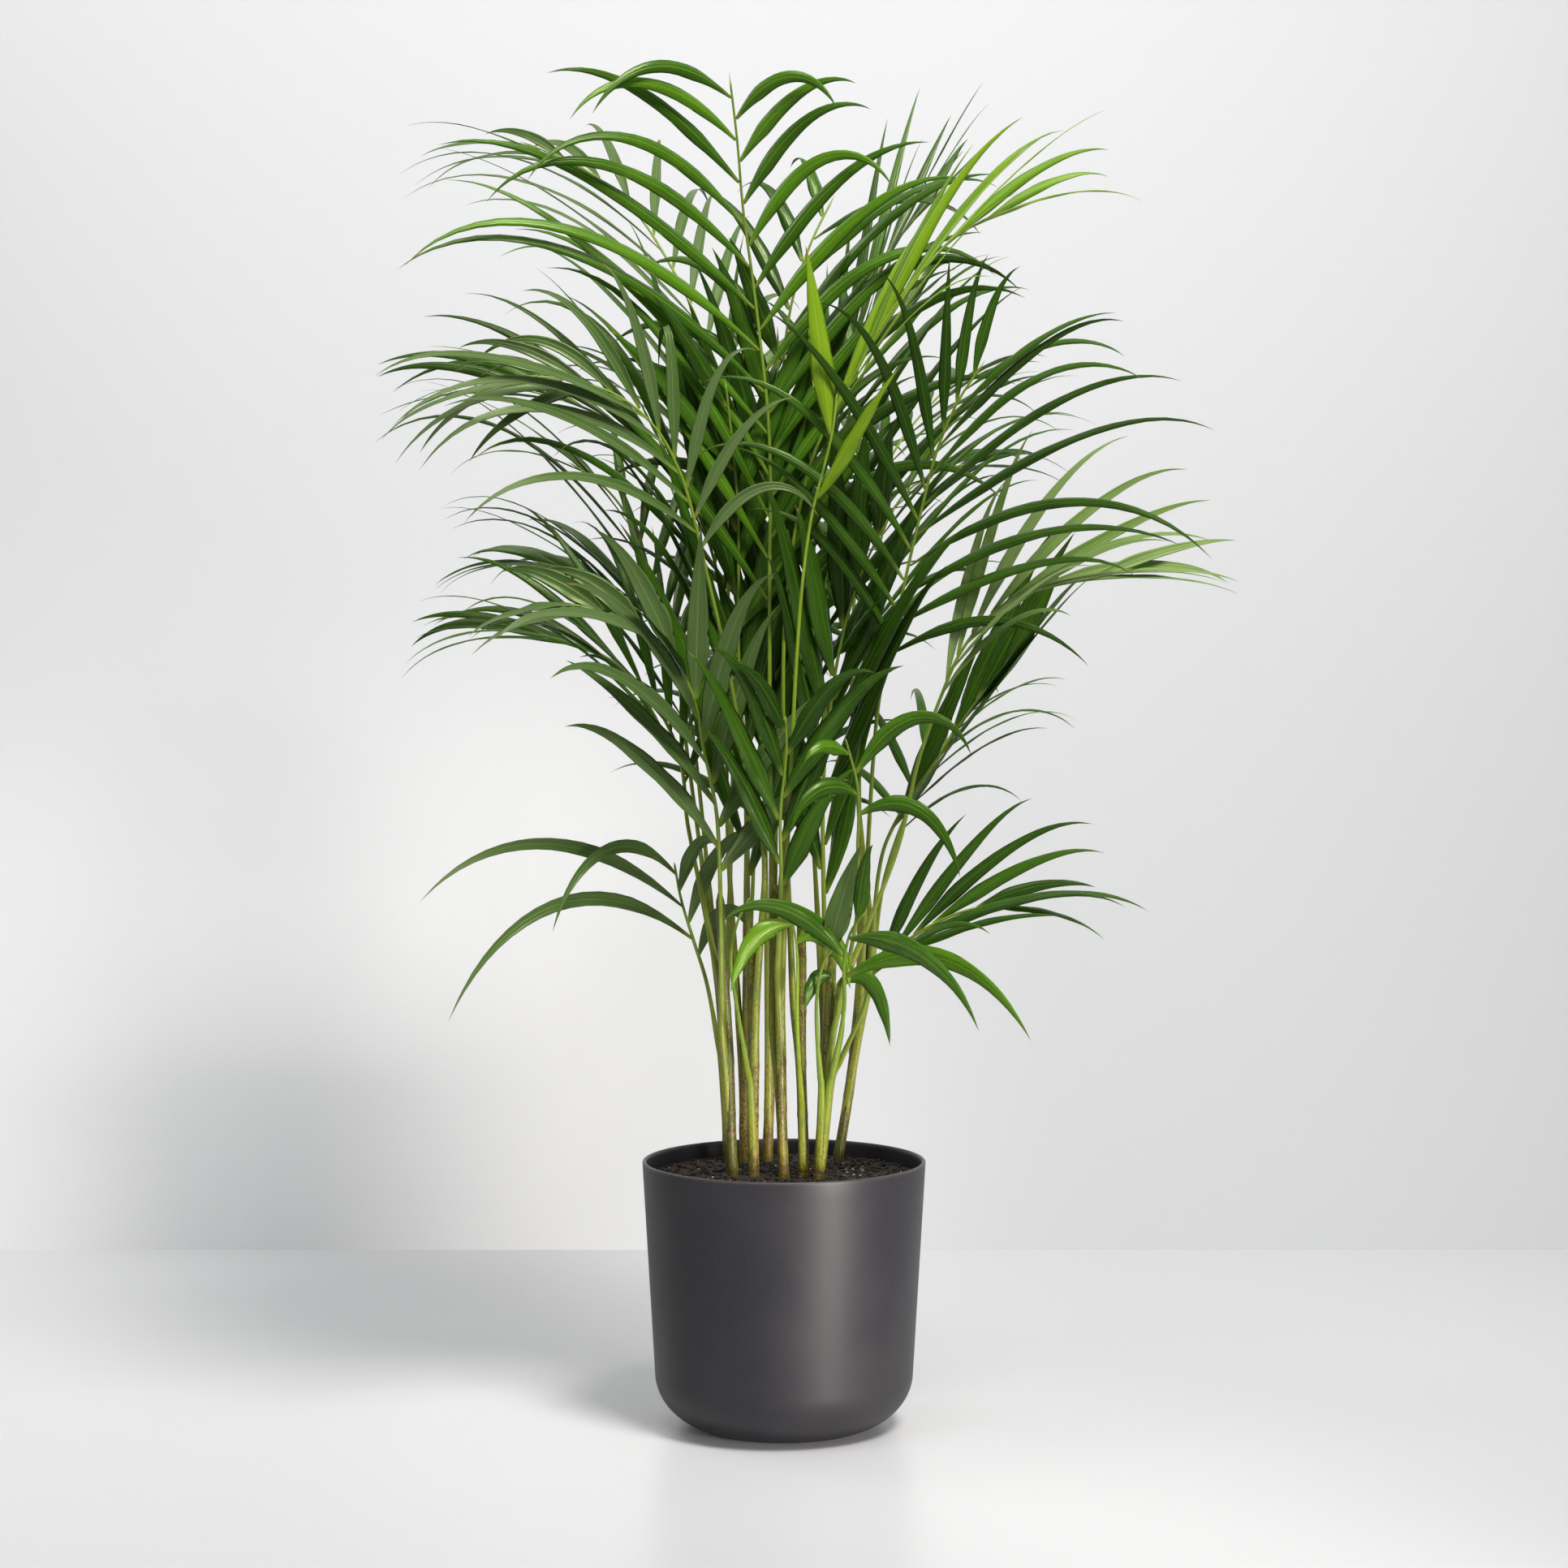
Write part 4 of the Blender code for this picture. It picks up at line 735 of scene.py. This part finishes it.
def caneFinish():
    m = Finish("cane")
    tint = m.leafTint()
    spot = m.place()
    x, y, z = m.axes(spot)
    streak = m.grain(m.vector(x * 750, y * 750, z * 9 + tint * 20), 1.0, 4.0)
    cloud = m.grain(spot, 38.0, 3.0)
    colour = m.blend(m.smooth(z, 0.20, 0.34), caneLook["old"], caneLook["young"])
    colour = m.blend(m.smooth(streak + (tint - 0.5) * 0.35, 0.47, 0.66, 0.0, 0.9), colour,
                     caneLook["green"])
    # scurf: brown flecks drawn out along the cane, thicker in some places than in others
    scurf = m.grain(m.vector(x * 800, y * 800, z * 430), 1.0, 2.0, 0.5)
    patch = m.smooth(cloud, 0.38, 0.60, 0.35, 1.0)
    flecks = m.smooth(scurf, 0.47, 0.52) * patch
    colour = m.blend(flecks * 0.85, colour, caneLook["fleck"])
    ring = m.smooth(m.wave(z * (2 * math.pi / caneLook["ringGap"]) + tint * 30), 0.965, 0.995)
    colour = m.blend(ring * 0.7, colour, caneLook["scar"])
    # a darker, browner band on the cane just above the soil line
    colour = m.blend(m.smooth(z, 0.196, 0.204, 0.7, 0.0), colour, caneLook["scar"])
    height = streak * 0.00007 + flecks * 0.00006 - ring * 0.00025
    return m.close(colour, m.smooth(streak, 0.3, 0.7, 0.38, 0.55), m.bump(height, 0.8, 1.0),
                   Specular_IOR_Level=0.42)


frondLook = {
    "around": 16,
    "fold": (0.50, 0.16),
    "pleat": 0.12,
    "thickness": 0.00018,
    "ridge": 0.00030,
    "hook": 0.9,
    "stalkAround": 10,
    "stalkSteps": 64,
    "flare": 0.0034,
    "hold": 0.085,
    "hookFrom": 12,
    "mostTwist": 24,
    "ripple": 0.07,
    "groove": 0.30,
    "stalkSwell": 1.06,
    "bakeGap": 0.004,
}
# shares of a leaflet's length, closer together at its foot and its tip
bladeShares = ([0, 0.006, 0.025, 0.055, 0.09] + [0.09 + 0.81 * step / 15 for step in range(1, 16)]
               + [0.935, 0.965, 0.985, 1])


def bladeWidthAt(s):
    late = max(0, (s - 0.32) / 0.68)
    return min(1, 0.20 + 3.0 * s) * (1 - late * late) * (1 - 0.30 * late)


def bladeStations(leaflet, chance):
    # centre, width direction and upper side at each share of a leaflet's length
    points = [point.copy() for point in leaflet.points]
    # the last stretch hangs a little more than the rest
    hook = frondLook["hook"] * chance.uniform(0.2, 1.2)
    step = leaflet.length / leaflet.steps
    start = frondLook["hookFrom"]
    for index in range(start, leaflet.steps + 1):
        sag = hook * ((index - start + 1) / 5) ** 2 * 0.35
        ahead = (leaflet.points[index] - leaflet.points[index - 1]).normalized()
        points[index] = points[index - 1] + (ahead - up * sag).normalized() * step
    route = Route(points)
    twist = math.radians(chance.uniform(-frondLook["mostTwist"], frondLook["mostTwist"]))
    ripple = chance.uniform(0, 6.28)
    stations = []
    for s in bladeShares:
        way = route.heading(s)
        wide = leaflet.wides[min(round(s * leaflet.steps), leaflet.steps)]
        wide = (wide - way * wide.dot(way)).normalized()
        wide.rotate(Quaternion(way, twist * s * s + 0.05 * math.sin(9 * s + ripple)))
        thick = leaflet.side * way.cross(wide)
        stations.append((route.at(s), wide, thick))
    return stations


def addBlade(wrapping, frond, leaflet, tint, chance, patch):
    stations = bladeStations(leaflet, chance)
    turned = leafTones[frond.tone]["turned"]
    along = len(bladeShares) - 1
    ripple = chance.uniform(0, 6.28)

    def acrossOf(u):
        return leaflet.side * (1 - 4 * u if u <= 0.5 else 4 * u - 3)

    def place(u, v):
        index = round(v * along)
        s = bladeShares[index]
        centre, wide, thick = stations[index]
        if index in (0, along):
            return centre
        x = acrossOf(u)
        half = leaflet.width * bladeWidthAt(s) / 2
        fold = frondLook["fold"][0] + (frondLook["fold"][1] - frondLook["fold"][0]) * min(1, 1.6 * s)
        bow = -fold * abs(x) + frondLook["pleat"] * math.sin(math.pi * min(1, abs(x) * 1.25)) ** 2
        bow += frondLook["ripple"] * abs(x) * math.sin(24 * s + ripple + 2 * x)
        bow *= half * (-1 if turned else 1)
        body = frondLook["thickness"] * (1 - 0.6 * x * x) * min(1, 6 * (1 - s) + 0.2)
        if u > 0.5:
            body = -body
        if abs(x) < 0.1 and (u > 0.5) != turned:
            body += math.copysign(frondLook["ridge"] * (1 - s), body)
        if u in (0, 0.5, 1):
            body = 0
        return centre + wide * (x * half) + thick * (bow + body)

    def slotOf(u, v):
        return int((u > 0.5) != turned)

    def patternOf(u, v):
        x = acrossOf(u)
        return x / 2 + 0.5, bladeShares[min(round(v * along), along)]

    wrapping.add(frondLook["around"], along, place, tint, slotOf, patternOf, patch)


def addStalk(wrapping, frond, tint, patch):
    axis = caneAxis(frond.cane, frond.rise)
    aside = frond.route.points[0] - axis
    aside.z = 0
    low = caneAxis(frond.cane, frond.rise - frondLook["hold"])
    middle = caneAxis(frond.cane, frond.rise - frondLook["hold"] * 0.45)
    knots = [low + aside * 0.10, middle + aside * 0.45]
    knots += [frond.route.at(step / 14) for step in range(15)]
    route = Route(knots)
    start = 1 - frond.route.length / route.length
    around = frondLook["stalkAround"]
    along = frondLook["stalkSteps"]

    def place(u, v):
        index = round(v * along)
        share = index / along
        heading = route.heading(share)
        above = (frond.face - heading * frond.face.dot(heading)).normalized()
        across = heading.cross(above)
        centre = route.at(share)
        if index in (0, along):
            return centre
        own = max(0, (share - start) / (1 - start))
        radius = frond.radius(own) * frondLook["stalkSwell"]
        low = max(0, 1 - share / (start + 0.16))
        radius += (frondLook["flare"] - growth["stalkRadius"]) * low ** 0.7
        turn = 2 * math.pi * u
        groove = 1 - frondLook["groove"] * max(0, math.cos(turn)) ** 4
        return centre + radius * groove * (math.cos(turn) * above + math.sin(turn) * across)

    wrapping.add(around, along, place, tint, lambda u, v: 2, None, patch)


def buildFronds():
    finishes = {}
    for name, tone in leafTones.items():
        finishes[name] = [leafFinish("leaf " + name, tone, False),
                          leafFinish("leaf underside " + name, tone, True), stalkFinish(name)]
    for order, frond in enumerate(fronds):
        chance = random.Random(order * 31 + 7)
        wrapping = Wrapping()
        count = len(frond.leaflets) + 1
        rows = 2 if count > 10 else 1
        columns = math.ceil(count / rows)
        gap = frondLook["bakeGap"]
        patches = []
        for index in range(count):
            left = (index % columns) / columns
            low = (index // columns) / rows
            patches.append((left + gap, low + gap, left + 1 / columns - gap, low + 1 / rows - gap))
        addStalk(wrapping, frond, chance.random(), patches[0])
        for leaflet, patch in zip(frond.leaflets, patches[1:]):
            addBlade(wrapping, frond, leaflet, chance.random(), chance, patch)
        newPiece("palm_" + frond.name, wrapping.bm, finishes[frond.tone], "frond_" + frond.name)
    print("fronds built")


def buildCanes():
    finish = caneFinish()
    for order, name in enumerate(canes):
        chance = random.Random(order + 400)
        _, top = canes[name]
        low, high = growth["soilTop"] - caneLook["sunk"], top[2] + 0.001
        spacing = chance.uniform(*caneLook["jointGap"])
        phase = chance.uniform(0, 1)
        sway = [chance.uniform(0, 6.28) for _ in range(4)]
        along = caneLook["along"]
        around = caneLook["around"]

        def place(u, v):
            index = round(v * along)
            height = low + (high - low) * index / along
            centre = caneAxis(name, height)
            centre.z = height
            middle = math.sin(math.pi * index / along)
            centre.x += caneLook["sway"] * middle * math.sin(30 * height + sway[0])
            centre.y += caneLook["sway"] * middle * math.sin(26 * height + sway[1])
            if index in (0, along):
                return centre
            radius = caneLook["radius"] + (caneLook["topRadius"] - caneLook["radius"]) * v
            radius *= 1 + 0.22 * max(0, 1 - (height - low) / 0.03) ** 2
            step = ((height - low) / spacing + phase) % 1
            radius *= 1 + 0.07 * math.exp(-((min(step, 1 - step)) / 0.06) ** 2) - 0.03 * step
            radius *= min(1, 0.35 + (high - height) / 0.016)
            turn = 2 * math.pi * u
            radius *= 1 + 0.035 * math.sin(3 * turn + sway[2] + 9 * height)
            return centre + Vector((math.cos(turn), math.sin(turn), 0)) * radius

        wrapping = Wrapping()
        wrapping.add(around, along, place, chance.random())
        newPiece("palm_cane_" + name, wrapping.bm, [finish], "cane_" + name)
    print("canes built")


soil = {
    "radius": 0.1060,
    "floor": 0.1800,
    "height": 0.1955,
    "crown": 0.002,
    "around": 220,
    "rings": 74,
    "crumbs": 1500,
    "crumbSize": (0.0006, 0.0022),
    "chips": 70,
    "chipSize": (0.002, 0.0042),
    "chipShape": (1, 0.4, 0.22),
    "mound": 0.0022,
    "dark": (0.006, 0.0042, 0.0032),
    "light": (0.040, 0.022, 0.012),
    "pale": (0.42, 0.38, 0.32),
}


def soilHeight(x, y):
    away = math.hypot(x, y) / soil["radius"]
    spot = Vector((x, y, 0))
    rough = noise.fractal(spot * 55, 0.9, 2.1, 4) * 0.0012
    rough += max(0, noise.noise(spot * 260)) * 0.0016 + noise.noise(spot * 620) * 0.0005
    mound = 0.0
    for foot, _ in canes.values():
        mound += soil["mound"] * math.exp(-((x - foot[0]) ** 2 + (y - foot[1]) ** 2) / 0.00012)
    return soil["height"] + soil["crown"] * (1 - away * away) + rough + min(mound, 0.003)


def soilFinish():
    m = Finish("potting soil")
    spot = m.place()
    tint = m.leafTint()
    cloud = m.grain(spot, 90.0, 5.0, 0.65)
    grit = m.grain(spot, 700.0, 4.0, 0.7)
    specks = m.smooth(m.cells(spot, 520.0), 0.0, 0.20, 1.0, 0.0)
    colour = m.blend(m.smooth(cloud * 0.5 + grit * 0.5, 0.40, 0.66), soil["dark"], soil["light"])
    rare = m.smooth(m.grain(spot, 260.0, 2.0), 0.58, 0.66)
    colour = m.blend(specks * rare * 0.7, colour, soil["pale"])
    colour = m.blend(m.smooth(tint, 0.90, 0.93, 0.0, 0.8), colour, soil["pale"])
    height = grit * 0.0008 + cloud * 0.0008
    return m.close(colour, m.smooth(grit, 0.3, 0.7, 0.62, 0.95), m.bump(height, 0.9, 1.0),
                   Specular_IOR_Level=0.4)


def buildSoil():
    wrapping = Wrapping()
    rings = soil["rings"]

    def place(u, v):
        index = round(v * rings)
        turn = 2 * math.pi * u
        if index <= 2:
            away = index / 2 * (soil["radius"] - 0.002)
            return Vector((math.cos(turn) * away, math.sin(turn) * away, soil["floor"]))
        away = soil["radius"] * (1 - (index - 3) / (rings - 3))
        x, y = math.cos(turn) * away, math.sin(turn) * away
        return Vector((x, y, soilHeight(x, y)))

    wrapping.add(soil["around"], rings, place, 0.3)
    chance = random.Random(5)
    for index in range(soil["crumbs"] + soil["chips"]):
        away = (soil["radius"] - 0.003) * math.sqrt(chance.random())
        turn = chance.uniform(0, 2 * math.pi)
        x, y = away * math.cos(turn), away * math.sin(turn)
        size = chance.uniform(*soil["crumbSize"])
        shape = (1, chance.uniform(0.6, 1), chance.uniform(0.5, 0.9))
        if index >= soil["crumbs"]:
            size, shape = chance.uniform(*soil["chipSize"]), soil["chipShape"]
        spin = Quaternion((0, 0, 1), chance.uniform(0, 6.28)).to_matrix().to_4x4()
        tip = Quaternion((1, 0, 0), chance.uniform(-0.6, 0.6)).to_matrix().to_4x4()
        where = Matrix.Translation((x, y, soilHeight(x, y) + size * 0.25))
        grow = Matrix.Diagonal((*(size * side for side in shape), 1))
        made = bmesh.ops.create_icosphere(wrapping.bm, subdivisions=1, radius=1,
                                          matrix=where @ spin @ tip @ grow)["verts"]
        tint = chance.random()
        for vert in made:
            vert.co += noise.noise_vector(vert.co * 900) * size * 0.25
            vert[wrapping.tint] = tint if size < 0.0016 else tint * 0.8
    newPiece("soil_surface", wrapping.bm, [soilFinish()], "soil")
    print("soil built")


pot = {
    "height": 0.208,
    "rim": 0.110,
    "wallFoot": 0.1005,
    "corner": 0.043,
    "cornerReach": 0.052,
    "foot": 0.0585,
    "wall": 0.0032,
    "floor": 0.0117,
    "steps": 192,
    "colour": (0.013, 0.0125, 0.0165),
    "fleck": (0.056, 0.053, 0.050),
    "roughness": 0.47,
}


def potRadius(height, inset=0.0):
    if height >= pot["corner"]:
        slope = (pot["rim"] - pot["wallFoot"]) / (pot["height"] - pot["corner"])
        return pot["wallFoot"] + slope * (height - pot["corner"]) - inset
    drop = (pot["corner"] - height) / (pot["corner"] + 0.001)
    return pot["wallFoot"] - pot["cornerReach"] * (1 - math.sqrt(1 - drop * drop)) - inset


def potFinish():
    m = Finish("anthracite plastic")
    spot = m.place()
    fine = m.grain(spot, 1500.0, 2.0, 0.5)
    broad = m.grain(spot, 9.0, 3.0)
    flake = m.smooth(m.cells(spot, 900.0), 0.0, 0.42, 1.0, 0.0)
    _, _, z = m.axes(spot)
    colour = m.blend(flake * m.smooth(fine, 0.45, 0.65) * 0.75, pot["colour"], pot["fleck"])
    colour = m.blend(m.smooth(broad, 0.35, 0.7, 0.0, 0.16), colour, pot["fleck"])
    # the rim is rubbed a little smoother, and its top edge is painted lighter as a painted highlight
    # along the lip
    rimRubAndHighlight = m.smooth(z, pot["height"] - 0.0030, pot["height"] - 0.0006)
    # painted highlight: the top edge of the lip is painted a lighter grey
    colour = m.blend(rimRubAndHighlight * m.smooth(fine, 0.3, 0.6) * 0.8, colour, pot["fleck"])
    rough = m.smooth(fine + (broad - 0.5) * 0.5, 0.3, 0.75, pot["roughness"] - 0.06,
                     pot["roughness"] + 0.10) - rimRubAndHighlight * 0.08
    height = fine * 0.00006 + flake * 0.000012
    return m.close(colour, rough, m.bump(height, 0.6, 1.0), Specular_IOR_Level=0.34)


def buildPot():
    bm = bmesh.new()
    lip = pot["wall"] / 2
    inside = [(0.0, pot["floor"])]
    for step in range(9):
        height = pot["floor"] + 0.0045 * step
        inside.append((potRadius(height, pot["wall"]), height))
    for step in range(8):
        height = 0.05 + (pot["height"] - lip - 0.052) * (step + 1) / 8
        inside.append((potRadius(height, pot["wall"]), height))
    outside = []
    for step in range(1, 8):
        turn = math.pi * step / 8
        middle = pot["rim"] - lip
        outside.append((middle - lip * math.cos(turn), pot["height"] - lip + lip * math.sin(turn)))
    for step in range(14):
        height = pot["height"] - lip - (pot["height"] - lip - pot["corner"]) * step / 13
        outside.append((potRadius(height), height))
    for step in range(1, 16):
        turn = 0.5 * math.pi * step / 16
        height = pot["corner"] * (1 - math.sin(turn))
        outside.append((potRadius(height), height))
    outside += [(pot["foot"] + 0.0012, 0.0004), (pot["foot"], 0.0), (0.0, 0.0)]
    verts = [bm.verts.new((radius, 0, height)) for radius, height in inside + outside]
    edges = [bm.edges.new(pair) for pair in zip(verts, verts[1:])]
    bmesh.ops.spin(bm, geom=verts + edges, cent=(0, 0, 0), axis=(0, 0, 1), dvec=(0, 0, 0),
                   angle=2 * math.pi, steps=pot["steps"], use_merge=True, use_duplicate=False)
    bmesh.ops.remove_doubles(bm, verts=bm.verts, dist=0.000005)
    bmesh.ops.recalc_face_normals(bm, faces=bm.faces)
    newPiece("pot_body", bm, [potFinish()], "pot")
    print("pot built")


studio = {
    "wallAt": 0.74,
    "half": 6.0,
    "wallTop": 5.0,
    "floor": (0.60, 0.61, 0.627),
    "wall": (0.735, 0.745, 0.762),
    "lens": 77.33,
    "eye": (0, -2.6, 0.62),
    "nod": 0.0461,
    "air": (0.93, 0.945, 0.96, 1),
    "airStrength": 0.23,
}


def plainFinish(name, colour, roughness, specular):
    m = Finish(name)
    haze = m.grain(m.place(), 0.7, 2.0)
    shaded = m.blend(m.smooth(haze, 0.3, 0.7, 0.0, 0.06), colour, tuple(0.9 * c for c in colour))
    seen = 1 - m.node("NewGeometry", {}, {}, "Backfacing")  # clear from behind
    return m.close(shaded, roughness, Alpha=seen, Specular_IOR_Level=specular)


def buildStage():
    half, wall = studio["half"], studio["wallAt"]
    for name, low, high, finish in (
        ("studio_floor", (-half, -half, 0), (half, wall, 0),
         plainFinish("studio floor", studio["floor"], 0.32, 0.28)),
        ("studio_wall", (-half, wall, 0), (half, wall, studio["wallTop"]),
         plainFinish("studio wall", studio["wall"], 0.9, 0.1)),
    ):
        bm = bmesh.new()
        corners = bmesh.ops.create_grid(bm, x_segments=1, y_segments=1, size=0.5)["verts"]
        for vert in corners:
            right, far = vert.co.x + 0.5, vert.co.y + 0.5
            vert.co = [start + (end - start) * share
                       for start, end, share in zip(low, high, (right, far, far))]
        mesh = bpy.data.meshes.new(name)
        bm.to_mesh(mesh)
        bm.free()
        mesh.materials.append(finish)
        obj = bpy.data.objects.new(name, mesh)
        bpy.context.scene.collection.objects.link(obj)


lamps = {
    "key": {"at": (1.10, -1.75, 3.5), "aim": (-0.05, 0, 0.60), "size": (1.2, 1.2), "power": 31,
            "spread": 80, "colour": (1.0, 0.97, 0.93)},
    "strip": {"at": (0.72, -0.96, 0.16), "aim": (0.0, 0, 0.12), "size": (0.40, 0.28), "power": 1.15,
              "spread": 36, "colour": (1.0, 0.94, 0.88)},
    "fill": {"at": (-2.3, -1.7, 1.3), "aim": (0, 0, 0.6), "size": (1.6, 1.6), "power": 6,
             "spread": 180, "colour": (0.92, 0.96, 1.0)},
    "top": {"at": (-0.2, -0.4, 2.7), "aim": (0, 0.05, 0.5), "size": (1.4, 1.4), "power": 11,
            "spread": 180, "colour": (1.0, 0.99, 0.97)},
    "back": {"at": (-1.1, 0.55, 1.9), "aim": (-0.2, 0.1, 0.75), "size": (0.5, 0.5), "power": 4,
             "spread": 180, "colour": (1.0, 0.98, 0.94)},
    "wash": {"at": (-0.3, -0.5, 2.3), "aim": (0.2, 0.74, 0.8), "size": (0.6, 0.6), "power": 2.6,
             "spread": 120, "colour": (1.0, 1.0, 1.0)},
}


def lightStudio():
    for name, lamp in lamps.items():
        light = bpy.data.lights.new(name, "AREA")
        light.shape = "ELLIPSE"
        light.size, light.size_y = lamp["size"]
        light.spread = math.radians(lamp["spread"])
        light.energy = lamp["power"]
        light.color = lamp["colour"]
        obj = bpy.data.objects.new(name, light)
        obj.location = lamp["at"]
        way = Vector(lamp["aim"]) - Vector(lamp["at"])
        obj.rotation_euler = way.to_track_quat("-Z", "Y").to_euler()
        bpy.context.scene.collection.objects.link(obj)
    world = bpy.data.worlds.new("studio air")
    world.use_nodes = True
    glow = world.node_tree.nodes["Background"].inputs
    glow["Color"].default_value = studio["air"]
    glow["Strength"].default_value = studio["airStrength"]
    bpy.context.scene.world = world
    bpy.context.scene.view_settings.view_transform = "Standard"
    print("studio lit")


def placeCamera():
    camera = bpy.data.cameras.new("front")
    camera.sensor_width = 36
    camera.lens = studio["lens"]
    camera.clip_end = 50
    obj = bpy.data.objects.new("front", camera)
    obj.location = studio["eye"]
    obj.rotation_euler = (math.pi / 2 - studio["nod"], 0, 0)
    bpy.context.scene.collection.objects.link(obj)
    bpy.context.scene.camera = obj


placeCamera()
settleLeaflets()
buildFronds()
buildCanes()
buildSoil()
buildPot()
buildStage()
lightStudio()
